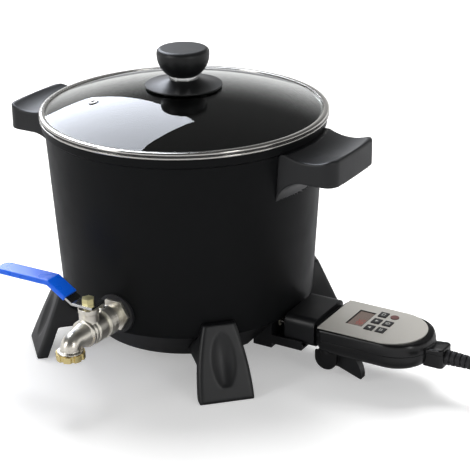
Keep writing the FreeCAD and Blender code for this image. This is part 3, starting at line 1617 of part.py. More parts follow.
def display_window():
    slack = d.close_fit
    pane = box("window_pane", d.window_length - 2 * slack, 2 * (d.window_half_width - slack), d.plate_thickness)
    place(pane, d.window_start + slack, d.window_centre - d.window_half_width + slack, d.case_top)
    return finish("display_window", pane)


def display_module():
    inset = d.window_ledge + d.key_gap
    width = 2 * (d.window_half_width - inset)
    module = box("digit_module", d.window_length - 2 * inset, width, d.case_top - d.key_gap - board_top)
    place(module, d.window_start + inset, d.window_centre - width / 2, board_top)
    return finish("display_module", module)


def circuit_board():
    body = new_body("circuit_board")
    sketch = new_sketch(body, "XY_Plane", d.board_height)
    rectangle(sketch, d.board_start, -d.board_half_width, d.board_end, d.board_half_width)
    pad(body, sketch, d.board_thickness)
    sketch = new_sketch(body, "XY_Plane")
    for x, y in shell_posts():
        circle(sketch, x, y, d.post_pin_radius)
    pocket(body, sketch, symmetric=True)
    place(body)
    return finish("circuit_board", body)


def key(name, x, y):
    """One key: a cap through the face plate and a flange that keeps it in."""
    cap_top = d.case_top + d.plate_thickness + d.key_projection
    cap_bottom = board_top + d.key_travel + d.key_gap
    flange_top = d.case_top - d.case_wall - d.key_gap
    brim = 2 * d.key_gap + d.key_brim
    if name == "power_key":
        cap = cylinder(name + "_cap", d.power_key_radius, cap_top - cap_bottom)
        flange = cylinder(name + "_flange", d.power_key_radius + brim / 2, flange_top - cap_bottom)
        place(cap, x, y, cap_bottom)
        place(flange, x, y, cap_bottom)
    else:
        cap = box(name + "_cap", d.key_length, d.key_width, cap_top - cap_bottom)
        place(cap, x - d.key_length / 2, y - d.key_width / 2, cap_bottom)
        flange = box(name + "_flange", d.key_length + brim, d.key_width + brim, flange_top - cap_bottom)
        place(flange, x - (d.key_length + brim) / 2, y - (d.key_width + brim) / 2, cap_bottom)
    return finish(name, fused(name, [cap, flange]))


def probe_rod():
    """Temperature probe that slides into the well under the floor."""
    rod = cylinder("rod", d.probe_radius, shroud_floor - d.probe_tip - d.probe_radius)
    place(rod, d.probe_tip + d.probe_radius, 0, d.plug_height, TO_X)
    tip = doc.addObject("Part::Sphere", "rod_tip")
    bind(tip, "Radius", d.probe_radius)
    place(tip, d.probe_tip + d.probe_radius, 0, d.plug_height)
    return finish("probe_rod", fused("probe_rod", [rod, tip]))


def contact_sleeves():
    """Spring sleeves that grip the terminals."""
    sleeves = []
    for side in (1, -1):
        length = shroud_floor - d.sleeve_contact_start
        outer = cylinder("contact", d.sleeve_contact_radius, length)
        bore = cylinder("contact_bore", d.terminal_radius + d.moving_gap, length - d.shroud_wall)
        for solid in (outer, bore):
            place(solid, d.sleeve_contact_start, terminal_y * side, d.plug_height, TO_X)
        sleeves.append(cut("contact_sleeve", outer, [bore]))
    return finish("contact_sleeves", group("contact_sleeves", sleeves))


def shell_screws():
    screws = []
    head_top = d.screw_head_top
    for x, y in shell_posts():
        head = cylinder("shell_screw_head", d.screw_head_radius - d.close_fit, d.screw_head_height)
        place(head, x, y, head_top - d.screw_head_height)
        shank = cylinder("shell_screw_shank", d.screw_radius - d.close_fit, d.post_screw_top - 0.5 - head_top)
        place(shank, x, y, head_top)
        screws.append(fused("shell_screw", [head, shank]))
    return finish("shell_screws", group("shell_screws", screws))


def release_lever():
    """Tipping lever under the case that pushes the plug out of the inlet."""
    body = new_body("release_lever")
    boss = d.release_boss_radius
    tip_x, tip_z = d.release_reach, -d.release_drop
    sketch = new_sketch(body)
    circle(sketch, 0, 0, boss)
    pad(body, sketch, d.release_width, symmetric=True)
    sketch = new_sketch(body)
    outline(sketch, [
        (0, -d.release_tail_drop),
        (d.release_tail_reach, -d.release_tail_drop),
        (tip_x - d.release_tip, tip_z),
        (tip_x, tip_z, d.release_fin_radius, -1),
        (d.release_back_reach, d.release_back_rise),
        (boss / 2, d.release_tail_drop),
        (0, d.release_tail_drop),
    ])
    pad(body, sketch, d.release_fin_width, symmetric=True)
    sketch = new_sketch(body)
    circle(sketch, 0, 0, d.release_pin_radius + d.moving_gap)
    pocket(body, sketch, symmetric=True)
    place(body, d.release_pivot, -d.release_offset, d.release_height)
    return finish("release_lever", body)


def lever_pin():
    length = ear_near + d.ear_thickness - d.pin_cover - ear_far
    pin = cylinder("pin", d.release_pin_radius, length)
    place(pin, d.release_pivot, -ear_far, d.release_height, TO_MINUS_Y)
    return finish("lever_pin", pin)


# ---------------------------------------------------------------- lead

def strain_relief():
    """Ribbed rubber sleeve that tapers from the case to the lead."""
    body = new_body("strain_relief")
    count = int(d.relief_ribs.number)
    pitch = d.relief_length / (count + 1)
    taper = (d.relief_start_radius - d.relief_end_radius) / d.relief_length
    corners = [(0, 0), (d.relief_start_radius, 0)]
    for i in range(count):
        start = pitch * (i + 0.7)
        end = start + d.relief_groove
        outer_start = d.relief_start_radius - taper * start
        outer_end = d.relief_start_radius - taper * end
        corners += [(outer_start, start), (outer_start - d.relief_depth, start),
                    (outer_end - d.relief_depth, end), (outer_end, end)]
    corners += [(d.relief_end_radius, d.relief_length), (0, d.relief_length)]
    sketch = new_sketch(body)
    outline(sketch, corners)
    revolve(body, sketch)
    place(body, d.gland_end, 0, d.relief_height, TO_X)
    return finish("strain_relief", body)


def cord_points():
    """The lead's route from the strain relief down to the table and on to the coil."""
    heading = math.radians(float(d.cord_heading))
    start = FreeCAD.Vector(float(d.gland_end + d.relief_length), 0, float(d.relief_height))
    top = start + FreeCAD.Vector(float(d.cord_first_run), 0, 0)
    along_floor = FreeCAD.Vector(math.cos(heading), math.sin(heading), 0)
    down = top + along_floor * float(d.cord_descent)
    down.z = float(d.cord_radius)
    end = down + along_floor * float(d.cord_last_run)
    return [start, top, down, end]


def rounded_route(points):
    """A wire of straight runs joined by tangent arcs, each from the shorter run beside it."""
    edges = []
    at = points[0]
    for before, corner, after in zip(points, points[1:], points[2:]):
        into = (corner - before).normalize()
        out = (after - corner).normalize()
        trim = 0.45 * min((corner - before).Length, (after - corner).Length)
        half_turn = into.getAngle(out) / 2
        radius = trim / math.tan(half_turn)
        arc_start, arc_end = corner - into * trim, corner + out * trim
        inward = (out - into).normalize()
        middle = corner + inward * (radius / math.cos(half_turn) - radius)
        edges.append(Part.makeLine(at, arc_start))
        edges.append(Part.Arc(arc_start, middle, arc_end).toShape())
        print(f"cord bend radius {radius:.1f}, turn {math.degrees(2 * half_turn):.1f}")
        at = arc_end
    edges.append(Part.makeLine(at, points[-1]))
    return Part.Wire(edges)


def cord():
    """Round lead as a solid swept along its route."""
    points = cord_points()
    route = rounded_route(points)
    radius = float(d.cord_radius)
    section = Part.Wire(Part.makeCircle(radius, points[0], points[1] - points[0]))
    feature = doc.addObject("Part::Feature", "cord")
    feature.Shape = route.makePipeShell([section], True, True)
    expected = math.pi * radius ** 2 * route.Length
    print(f"cord length {route.Length:.1f}, volume {feature.Shape.Volume:.0f} against {expected:.0f}")
    place(feature)
    return finish("cord", feature)


def coil_centre():
    """The coil's centre, one turn's radius to the right of the route's end."""
    heading = math.radians(float(d.cord_heading))
    end = cord_points()[-1]
    radius = float(d.coil_mean_radius)
    return FreeCAD.Vector(end.x + radius * math.sin(heading), end.y - radius * math.cos(heading), 0)


def cord_coil():
    """The rest of the lead put away in a flat coil, as one ring two strands wide and high."""
    body = new_body("cord_coil")
    sketch = new_sketch(body)
    strand = d.cord_radius
    low, middle, high = d.coil_mean_radius - 2 * strand, d.coil_mean_radius, d.coil_mean_radius + 2 * strand
    waist = strand * 0.2
    outline(sketch, [
        (low + waist, 0),
        (high - waist, 0),
        (high, waist),
        (high, 4 * strand - waist),
        (high - waist, 4 * strand),
        (middle, 4 * strand - waist),
        (low + waist, 4 * strand),
        (low, 4 * strand - waist),
        (low, waist),
    ])
    revolve(body, sketch)
    centre = coil_centre()
    place(body, centre.x, centre.y, 0)
    return finish("cord_coil", body)


def plug():
    """Moulded mains plug on the table, where the lead's last turn leaves the coil."""
    body = new_body("plug")
    sketch = new_sketch(body)
    half = d.plug_width / 2
    rectangle(sketch, -half, 0, half, d.plug_depth)
    pad(body, sketch, d.plug_length)
    round_edges(body, d.plug_round, lambda edge: along("y", edge))
    sketch = new_sketch(body, "XY_Plane", d.plug_depth / 2)
    outline(sketch, [
        (0, -d.plug_round),
        (d.grommet_front_radius, -d.plug_round),
        (d.grommet_front_radius, 0),
        (d.grommet_back_radius, d.grommet_length),
        (0, d.grommet_length),
    ])
    revolve(body, sketch)
    x, y = plug_start()
    place(body, x, y, 0)
    return finish("plug", body)


def plug_start():
    """The middle of the plug's back face, its grommet's end just touching the coil."""
    centre = coil_centre()
    outer = float(d.coil_mean_radius + 2 * d.cord_radius)
    middle = float(d.coil_mean_radius + d.cord_radius)
    inner_side = middle - float(d.grommet_back_radius)
    touch = centre.y - math.sqrt(outer ** 2 - inner_side ** 2)
    return centre.x + middle, touch + float(d.plug_bite - d.grommet_length)


def plug_blades():
    """Two flat blades and a round earth pin."""
    x, y = plug_start()
    tip = y - float(d.plug_length + d.blade_length)
    blades = []
    for side in (1, -1):
        blade = box("blade", d.blade_thickness, d.blade_length, d.blade_width)
        place(blade, x + side * d.blade_spacing / 2 - d.blade_thickness / 2, tip,
              d.plug_depth * 0.6 - d.blade_width / 2)
        blades.append(blade)
    pin = cylinder("earth_pin", d.earth_radius, d.blade_length)
    place(pin, x, tip + float(d.blade_length), d.plug_depth * 0.25, TO_MINUS_Y)
    blades.append(pin)
    return finish("plug_blades", group("plug_blades", blades))


# ---------------------------------------------------------------- the whole appliance

def build():
    pot_vessel()
    heating_element()
    element_terminals()
    terminal_bushes()
    probe_well()
    inlet_guard()
    base_ring()
    for place_name, angle in FOOT_ANGLES.items():
        foot("foot_" + place_name, angle)
    foot_screws()
    handle("handle_right", 0)
    handle("handle_left", 180)
    handle_screws()
    valve_gaskets()
    valve_locknut()
    valve_tailpiece()
    valve_body()
    seat_rings()
    gland_nut()
    spout_collar()
    valve_ball()
    valve_stem()
    valve_lever()
    lever_sleeve()
    lever_nut()
    lid_glass()
    lid_band()
    vent_eyelet()
    knob_plate()
    knob_neck()
    lid_knob()
    knob_washer()
    knob_screw()
    controller_upper_shell()
    controller_lower_shell()
    probe_shroud()
    face_plate()
    display_window()
    display_module()
    circuit_board()
    for name, (x, y) in key_places().items():
        key(name, x, y)
    probe_rod()
    contact_sleeves()
    shell_screws()
    release_lever()
    lever_pin()
    strain_relief()
    cord()
    cord_coil()
    plug()
    plug_blades()


def check():
    """Stops the build if any object or sub-part is not sound."""
    doc.recompute()
    for thing in doc.Objects:
        if "Invalid" in thing.State or "Error" in thing.State:
            raise ValueError(f"{thing.Label} is {thing.State}")
    for part in subparts:
        if part.Shape.isNull() or not part.Shape.isValid():
            raise ValueError(f"{part.Label} has no sound shape")


def export():
    os.makedirs("parts", exist_ok=True)
    for part in subparts:
        part.Shape.exportStep(f"parts/{part.Label}.step")
        box_ = part.Shape.BoundBox
        print(f"{part.Label}: {part.Shape.Volume:.0f} mm3, z {box_.ZMin:.1f} to {box_.ZMax:.1f}")


build()
check()
export()
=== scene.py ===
import json
import math

import bmesh
import bpy
from mathutils import Matrix, Vector


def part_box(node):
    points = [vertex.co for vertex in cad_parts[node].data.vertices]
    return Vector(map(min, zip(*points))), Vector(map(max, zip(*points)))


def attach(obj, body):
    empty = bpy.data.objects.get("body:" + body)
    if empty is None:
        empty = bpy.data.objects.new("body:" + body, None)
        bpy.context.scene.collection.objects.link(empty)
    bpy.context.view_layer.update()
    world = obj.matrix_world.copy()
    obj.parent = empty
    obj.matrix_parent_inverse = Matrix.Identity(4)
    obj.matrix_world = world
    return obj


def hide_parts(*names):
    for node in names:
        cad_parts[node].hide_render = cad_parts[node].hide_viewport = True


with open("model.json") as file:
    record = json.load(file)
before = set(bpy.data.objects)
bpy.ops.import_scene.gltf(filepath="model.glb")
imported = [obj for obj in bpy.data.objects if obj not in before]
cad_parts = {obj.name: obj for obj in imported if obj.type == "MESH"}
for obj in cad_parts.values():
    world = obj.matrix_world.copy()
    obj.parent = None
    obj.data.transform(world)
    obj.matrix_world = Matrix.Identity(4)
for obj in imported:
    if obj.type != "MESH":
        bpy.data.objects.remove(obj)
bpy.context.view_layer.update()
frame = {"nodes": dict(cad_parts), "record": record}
nodes = frame["nodes"]
scene = bpy.context.scene
scene.view_settings.view_transform = "Standard"

MM = 0.001
# Where the vessel's axis and the valve's stem stand on the table.
POT = Vector((-46.0, 34.448, 0.0)) * MM
STEM = Vector((-46.0, -125.548, 0.0)) * MM


# ---------------------------------------------------------------- camera, floor and light

CAMERA_PLACE = (0.6591, -1.04595, 0.6363)
# In degrees: round towards the pot, up from straight down, and over on its side.
CAMERA_TURN = 31.14
CAMERA_TILT = 67.35
CAMERA_ROLL = -0.76
LENS = 112.9
SENSOR_WIDTH = 36.0

# How much the white room lights the table, beside the lamps.
ROOM_LIGHT = 0.32
FLOOR_RADIUS = 6.0
# How much whiter the paper looks than the lamps alone make it.
FLOOR_LIFT = 0.34

# The ceiling panel's nearest corner, and its two sides from there.
WINDOW_CORNER = POT + Vector((-672.0, 1137.0, 1500.0)) * MM
WINDOW_WIDTH = (-2.794, 2.3, 0.0)
WINDOW_DEPTH = (0.0, -1.6, 0.0)
WINDOW_GLOW = 7.6

TENT_RADIUS = 5.0
# The tent darkens as it rises between these shares of its radius.
TENT_WHITE_BELOW = 0.05
TENT_DARK_ABOVE = 0.52
TENT_TOP_GLOW = 0.1
# It darkens a little from the sides to the front too, between these shares.
TOWARDS_FRONT = (0.52, -0.85, 0.0)
TENT_SIDES = -0.15
TENT_FRONT = 0.45
TENT_FRONT_GLOW = 0.85

view = bpy.data.cameras.new("view")
view.lens = LENS
view.sensor_width = SENSOR_WIDTH
camera = bpy.data.objects.new("camera", view)
scene.collection.objects.link(camera)
camera.matrix_world = (Matrix.Translation(CAMERA_PLACE)
                       @ Matrix.Rotation(math.radians(CAMERA_TURN), 4, "Z")
                       @ Matrix.Rotation(math.radians(CAMERA_TILT), 4, "X")
                       @ Matrix.Rotation(math.radians(CAMERA_ROLL), 4, "Z"))
scene.camera = camera


def colour(code):
    """The linear colour of an sRGB hex code."""
    linear = []
    for start in (0, 2, 4):
        part = int(code[start:start + 2], 16) / 255
        linear.append(part / 12.92 if part <= 0.04045 else ((part + 0.055) / 1.055) ** 2.4)
    return (*linear, 1.0)


def add_node(tree, kind, inputs, **settings):
    """Adds a node; each of its inputs takes a plain value or another node's output."""
    node = tree.nodes.new("ShaderNode" + kind)
    for name, value in settings.items():
        setattr(node, name, value)
    for name, value in inputs.items():
        if isinstance(value, bpy.types.NodeSocket):
            tree.links.new(value, node.inputs[name])
        else:
            node.inputs[name].default_value = value
    return node


def new_material(name):
    """An empty material and its node tree."""
    material = bpy.data.materials.new(name)
    material.use_nodes = True
    material.node_tree.nodes.clear()
    return material, material.node_tree


def studio_walls():
    """White room, at full white wherever it is looked at, mirrored or seen through glass."""
    world = bpy.data.worlds.new("studio")
    scene.world = world
    world.use_nodes = True
    tree = world.node_tree
    tree.nodes.clear()
    path = add_node(tree, "LightPath", {})
    seen = add_node(tree, "Math", {0: path.outputs["Is Camera Ray"], 1: path.outputs["Is Glossy Ray"]},
                    operation="MAXIMUM")
    clear_too = add_node(tree, "Math", {0: seen.outputs[0], 1: path.outputs["Is Transmission Ray"]},
                         operation="MAXIMUM")
    strength = add_node(tree, "MapRange", {"Value": clear_too.outputs[0], "To Min": ROOM_LIGHT,
                                           "To Max": 1.0})
    back = add_node(tree, "Background", {"Color": (1, 1, 1, 1), "Strength": strength.outputs[0]})
    add_node(tree, "OutputWorld", {"Surface": back.outputs[0]})


def stage_piece(name, shape, material):
    """A part of the studio, which is no part of the melter."""
    mesh = bpy.data.meshes.new(name)
    shape.to_mesh(mesh)
    shape.free()
    mesh.materials.append(material)
    piece = bpy.data.objects.new(name, mesh)
    scene.collection.objects.link(piece)
    return piece


def table_top():
    """White sweep that keeps the appliance's shadow, and looks grey where it is mirrored."""
    shape = bmesh.new()
    bmesh.ops.create_circle(shape, cap_ends=True, segments=96, radius=FLOOR_RADIUS)
    material, tree = new_material("white seamless paper")
    path = add_node(tree, "LightPath", {})
    tone = add_node(tree, "Mix", {"Factor": path.outputs["Is Glossy Ray"], 6: colour("f4f4f4"),
                                  7: colour("cacacc")}, data_type="RGBA")
    paper = add_node(tree, "BsdfDiffuse", {"Color": tone.outputs[2]})
    lift = add_node(tree, "Math", {0: path.outputs["Is Camera Ray"], 1: FLOOR_LIFT},
                    operation="MULTIPLY")
    glow = add_node(tree, "Emission", {"Strength": lift.outputs[0]})
    both = add_node(tree, "AddShader", {0: paper.outputs[0], 1: glow.outputs[0]})
    add_node(tree, "OutputMaterial", {"Surface": both.outputs[0]})
    stage_piece("table", shape, material)


def window_panel():
    """Bright ceiling panel up and to the left, which the glass lid mirrors."""
    shape = bmesh.new()
    bmesh.ops.create_grid(shape, x_segments=1, y_segments=1, size=0.5)
    bmesh.ops.translate(shape, vec=(0.5, 0.5, 0.0), verts=shape.verts)
    sides = Matrix((WINDOW_WIDTH, WINDOW_DEPTH, (0.0, 0.0, 1.0))).transposed().to_4x4()
    bmesh.ops.transform(shape, matrix=Matrix.Translation(WINDOW_CORNER) @ sides, verts=shape.verts)
    material, tree = new_material("frosted window light")
    glow = add_node(tree, "Emission", {"Color": colour("e6ebf5"), "Strength": WINDOW_GLOW})
    add_node(tree, "OutputMaterial", {"Surface": glow.outputs[0]})
    panel = stage_piece("ceiling_panel", shape, material)
    panel.visible_camera = False
    panel.visible_diffuse = False
    panel.visible_shadow = False
    panel.visible_transmission = False


def dark_tent():
    """Studio tent that only shine shows: white round its foot, dark overhead and duller in front."""
    shape = bmesh.new()
    bmesh.ops.create_uvsphere(shape, u_segments=64, v_segments=32, radius=TENT_RADIUS)
    bmesh.ops.bisect_plane(shape, geom=shape.verts[:] + shape.edges[:] + shape.faces[:], plane_co=(0, 0, 0),
                           plane_no=(0, 0, 1), clear_inner=True)
    material, tree = new_material("dark studio cloth")
    place = add_node(tree, "TexCoord", {}).outputs["Object"]
    height = add_node(tree, "SeparateXYZ", {"Vector": place})
    upwards = add_node(tree, "MapRange", {
        "Value": height.outputs["Z"], "From Min": TENT_WHITE_BELOW * TENT_RADIUS,
        "From Max": TENT_DARK_ABOVE * TENT_RADIUS, "To Min": 1.0, "To Max": TENT_TOP_GLOW},
        interpolation_type="SMOOTHSTEP")
    facing = add_node(tree, "VectorMath", {0: place, 1: TOWARDS_FRONT}, operation="DOT_PRODUCT")
    forwards = add_node(tree, "MapRange", {
        "Value": facing.outputs["Value"], "From Min": TENT_SIDES * TENT_RADIUS,
        "From Max": TENT_FRONT * TENT_RADIUS, "To Min": 1.0, "To Max": TENT_FRONT_GLOW},
        interpolation_type="SMOOTHSTEP")
    both = add_node(tree, "Math", {0: upwards.outputs[0], 1: forwards.outputs[0]}, operation="MULTIPLY")
    glow = add_node(tree, "Emission", {"Strength": both.outputs[0]})
    add_node(tree, "OutputMaterial", {"Surface": glow.outputs[0]})
    tent = stage_piece("tent", shape, material)
    tent.visible_camera = False
    tent.visible_diffuse = False
    tent.visible_shadow = False


def lamp(name, place, towards, width, depth, power, mirrored=False):
    """Oblong soft box, turned to a point; shine shows only a mirrored one. Metres and watts."""
    light = bpy.data.lights.new(name, "AREA")
    light.shape = "RECTANGLE"
    light.size = width
    light.size_y = depth
    light.energy = power
    holder = bpy.data.objects.new(name, light)
    scene.collection.objects.link(holder)
    aim = (Vector(towards) - Vector(place)).to_track_quat("-Z", "Y")
    holder.matrix_world = Matrix.Translation(place) @ aim.to_matrix().to_4x4()
    holder.visible_camera = False
    holder.visible_glossy = mirrored
    holder.visible_transmission = False


studio_walls()
table_top()
window_panel()
dark_tent()
lamp("overhead soft box", place=(-0.5, 0.8, 1.9), towards=(0.0, 0.0, 0.1), width=1.3, depth=1.1, power=48)
lamp("right soft box", place=(2.0, -0.8, 0.85), towards=(0.1, 0.0, 0.1), width=0.5, depth=0.9, power=5,
     mirrored=True)
lamp("left soft box", place=(-1.1, -1.9, 1.05), towards=(0.1, -0.1, 0.1), width=0.6, depth=1.1, power=10,
     mirrored=True)


# ---------------------------------------------------------------- materials

# Sizes of the patterns, in millimetres. The finest are drawn coarser than they are, so that they show.
MOTTLE = 24
BRUSHED_LINE = 0.35
BRUSHED_DEPTH = 0.01
BRUSHED_EDGE = 0.2
GLASS_RIPPLE = 40
GLASS_RIPPLE_DEPTH = 0.03
TRACK_LENGTH = 9
TRACK_WIDTH = 0.03
# Shares of its roughness between which brushed metal varies.
LINE_SMOOTHER = 0.8
LINE_ROUGHER = 1.25
# Nearly all the values of a noise pattern lie between these.
NOISE_LOW = 0.3
NOISE_HIGH = 0.7


def finish(name, code, roughness, spread, grain, relief, metal=0.0, edge=0.25, mottle=0.12, **more):
    """A moulded, cast or plated surface: mottled colour, uneven gloss, fine grain and worn edges.
    grain, relief and edge are in millimetres; spread and mottle say how far gloss and colour stray."""
    material, tree = new_material(name)
    place = add_node(tree, "TexCoord", {}).outputs["Object"]
    fine = add_node(tree, "TexNoise", {"Vector": place, "Scale": 1 / (grain * MM), "Detail": 3.0})
    broad = add_node(tree, "TexNoise", {"Vector": place, "Scale": 1 / (MOTTLE * MM), "Detail": 2.0})
    gloss = add_node(tree, "MapRange", {
        "Value": broad.outputs["Fac"], "From Min": NOISE_LOW, "From Max": NOISE_HIGH,
        "To Min": roughness - spread, "To Max": roughness + spread})
    base = colour(code)
    deep = (*(part * (1 - mottle) for part in base[:3]), 1.0)
    light = (*(min(1.0, part * (1 + mottle)) for part in base[:3]), 1.0)
    tint = add_node(tree, "Mix", {"Factor": broad.outputs["Fac"], 6: deep, 7: light}, data_type="RGBA")
    edges = add_node(tree, "Bevel", {"Radius": edge * MM})
    bump = add_node(tree, "Bump", {"Strength": 1.0, "Distance": relief * MM, "Height": fine.outputs["Fac"],
                                   "Normal": edges.outputs[0]})
    surface = add_node(tree, "BsdfPrincipled", {
        "Base Color": tint.outputs[2], "Roughness": gloss.outputs[0], "Normal": bump.outputs[0],
        "Metallic": metal, **more})
    add_node(tree, "OutputMaterial", {"Surface": surface.outputs[0]})
    return material


def brushed(name, code, roughness, stretch, turned=False, metal=1.0):
    """Metal with fine lines, either straight along X or turned round the vessel's axis.
    stretch scales the pattern along each axis, so a small number draws its lines out."""
    material, tree = new_material(name)
    place = add_node(tree, "TexCoord", {}).outputs["Object"]
    if turned:
        about = add_node(tree, "VectorMath", {0: place, 1: -POT}, operation="ADD")
        flat = add_node(tree, "VectorMath", {0: about.outputs[0], 1: (1.0, 1.0, 0.0)}, operation="MULTIPLY")
        reach = add_node(tree, "VectorMath", {0: flat.outputs[0]}, operation="LENGTH")
        height = add_node(tree, "SeparateXYZ", {"Vector": place})
        turning = add_node(tree, "CombineXYZ", {"X": reach.outputs["Value"], "Z": height.outputs["Z"]})
        place = turning.outputs[0]
    lines = add_node(tree, "Mapping", {"Vector": place, "Scale": stretch})
    fine = add_node(tree, "TexNoise", {"Vector": lines.outputs[0], "Scale": 1 / (BRUSHED_LINE * MM),
                                       "Detail": 4.0})
    gloss = add_node(tree, "MapRange", {
        "Value": fine.outputs["Fac"], "From Min": NOISE_LOW, "From Max": NOISE_HIGH,
        "To Min": roughness * LINE_SMOOTHER, "To Max": roughness * LINE_ROUGHER})
    edges = add_node(tree, "Bevel", {"Radius": BRUSHED_EDGE * MM})
    bump = add_node(tree, "Bump", {"Strength": 1.0, "Distance": BRUSHED_DEPTH * MM,
                                   "Height": fine.outputs["Fac"], "Normal": edges.outputs[0]})
    surface = add_node(tree, "BsdfPrincipled", {"Base Color": colour(code), "Roughness": gloss.outputs[0],
                                                "Metallic": metal, "Normal": bump.outputs[0]})
    add_node(tree, "OutputMaterial", {"Surface": surface.outputs[0]})
    return material


def clear(name, code, roughness, index):
    """Glass or clear plastic, faintly uneven."""
    material, tree = new_material(name)
    place = add_node(tree, "TexCoord", {}).outputs["Object"]
    ripple = add_node(tree, "TexNoise", {"Vector": place, "Scale": 1 / (GLASS_RIPPLE * MM), "Detail": 1.0})
    bump = add_node(tree, "Bump", {"Strength": 1.0, "Distance": GLASS_RIPPLE_DEPTH * MM,
                                   "Height": ripple.outputs["Fac"]})
    surface = add_node(tree, "BsdfPrincipled", {"Base Color": colour(code), "Roughness": roughness,
                                                "IOR": index, "Transmission Weight": 1.0,
                                                "Normal": bump.outputs[0]})
    add_node(tree, "OutputMaterial", {"Surface": surface.outputs[0]})
    return material


def glowing(name, code, strength):
    """Lit display segments behind their pane."""
    material, tree = new_material(name)
    surface = add_node(tree, "BsdfPrincipled", {"Base Color": colour(code), "Emission Color": colour(code),
                                                "Emission Strength": strength})
    add_node(tree, "OutputMaterial", {"Surface": surface.outputs[0]})
    return material


def printed_board(name):
    """Green solder mask over copper tracks, which show as lighter lines."""
    material, tree = new_material(name)
    place = add_node(tree, "TexCoord", {}).outputs["Object"]
    tracks = add_node(tree, "TexBrick", {
        "Vector": place, "Scale": 1 / (TRACK_LENGTH * MM), "Color1": colour("12401f"),
        "Color2": colour("0f381b"), "Mortar": colour("2c6a3a"), "Mortar Size": TRACK_WIDTH})
    surface = add_node(tree, "BsdfPrincipled", {"Base Color": tracks.outputs[0], "Roughness": 0.35})
    add_node(tree, "OutputMaterial", {"Surface": surface.outputs[0]})
    return material


# Deep black that goes grey only at a glancing view, with the faint tooth of a sprayed coating.
COATING = finish("satin non-stick coating", "141516", 0.40, 0.04, 0.9, 0.006, edge=0.6,
                 **{"IOR": 1.3, "Specular IOR Level": 0.2})
# Bright rolled rim: mirror-like, with turned lines that stretch its highlights along the rim.
RIM_STEEL = brushed("polished stainless steel", "d6d4cf", 0.14, (1.0, 1.0, 1.0), turned=True)
# Duller stamped steel for screws, washers and the eyelet.
STEEL = finish("satin stainless steel", "b5b2ad", 0.30, 0.05, 0.5, 0.004, metal=1.0)
# Bright flat lever blade, a little wavy from stamping.
BLADE_STEEL = finish("zinc-plated strip steel", "cfcfcd", 0.20, 0.05, 3.0, 0.03, metal=1.0, edge=0.4)
# Pale warm metal with soft highlights and the shallow grain of a sand casting under its plating.
NICKEL = finish("nickel-plated cast brass", "f6ece0", 0.30, 0.06, 1.1, 0.03, metal=1.0, edge=0.6,
                mottle=0.18)
# Yellowish passivated nut.
PASSIVATED = finish("yellow-passivated zinc", "e6dca6", 0.36, 0.06, 1.5, 0.02, metal=1.0, edge=0.4)
# Near mirror: it shows the room dark and bright in turns.
CHROME = finish("polished chrome", "e4e4e4", 0.06, 0.02, 8.0, 0.004, metal=1.0)
# Saturated yellow metal with tool marks.
BRASS = finish("machined brass", "f0dc9c", 0.24, 0.05, 0.7, 0.01, metal=1.0, edge=0.4)
# Soft-sheen black with the fine tooth of a spark-eroded mould.
PHENOLIC = finish("moulded phenolic", "141517", 0.40, 0.04, 0.5, 0.01, edge=0.8)
# Wet-looking black whose round highlights show the case's curves.
GLOSSY = finish("polished black plastic", "0d0d0e", 0.25, 0.03, 6.0, 0.01, edge=0.5)
# Knob: between the two, with one soft highlight.
KNOB = finish("satin black phenolic knob", "161718", 0.38, 0.03, 2.0, 0.006, edge=0.8)
# Colourless and flat, so that the dome shows what it mirrors over the dark vessel inside.
GLASS = clear("clear tempered glass", "f6faf8", 0.0, 1.5)
# Dims and greys the module behind it, which glows with painted light.
PANE = clear("smoked display pane", "c9bdb8", 0.05, 1.49)
# Soft red that glows a little through the pane.
DIGITS = glowing("lit red segments", "c4504c", 0.9)
# Grey-brown module with an even painted glow round the digits: painted light that stands in for the light
# the pane keeps from it.
MODULE_PAINTED_GLOW = finish("display module with painted glow", "6c6562", 0.6, 0.05, 0.5, 0.005,
                **{"Emission Color": colour("9a928d"), "Emission Strength": 1.0})
# Mid-grey plate with fine lines along its length.
PLATE = brushed("lacquered brushed aluminium", "cbc8c1", 0.38, (0.03, 1.0, 1.0), metal=0.4)
# Dark green with lighter lines, seen only in the opened case.
BOARD = printed_board("green circuit board")
# Matt rubbery key caps, worn slightly smooth.
SILICONE = finish("black silicone rubber", "1c1b1b", 0.48, 0.06, 0.4, 0.006)
# The same rubber in a dull red, which marks the power key.
ROSE = finish("dusky red silicone rubber", "6a4643", 0.36, 0.06, 0.4, 0.006)
# Flat off-white, without shine, over the key caps.
PAD_INK = finish("pale pad-printing ink", "c9c9c4", 0.55, 0.05, 0.3, 0.002)
# Dull and dusty black, uneven to the touch.
GASKET = finish("black gasket rubber", "232326", 0.55, 0.08, 1.2, 0.12, mottle=0.4)
# Saturated blue dip coating, glossy and slightly slumped.
VINYL = finish("blue dipped vinyl", "0f6cff", 0.28, 0.04, 9.0, 0.06, edge=0.6, mottle=0.06)
# Waxy white ring round the ball.
SEAT = finish("white fluoropolymer", "e6e5e0", 0.35, 0.05, 0.6, 0.004)
# Cream bush with a glassy skin.
CERAMIC = finish("glazed steatite ceramic", "d9d4c4", 0.22, 0.05, 0.6, 0.008)
# Plain black with a low, even sheen.
CORD_JACKET = finish("black cord jacket", "161617", 0.40, 0.06, 0.7, 0.01)
# Brown-grey metal, blotched where it has been hot.
SHEATH = finish("heat-tinted element sheath", "5d5a55", 0.45, 0.10, 0.5, 0.01, metal=1.0, mottle=0.35)

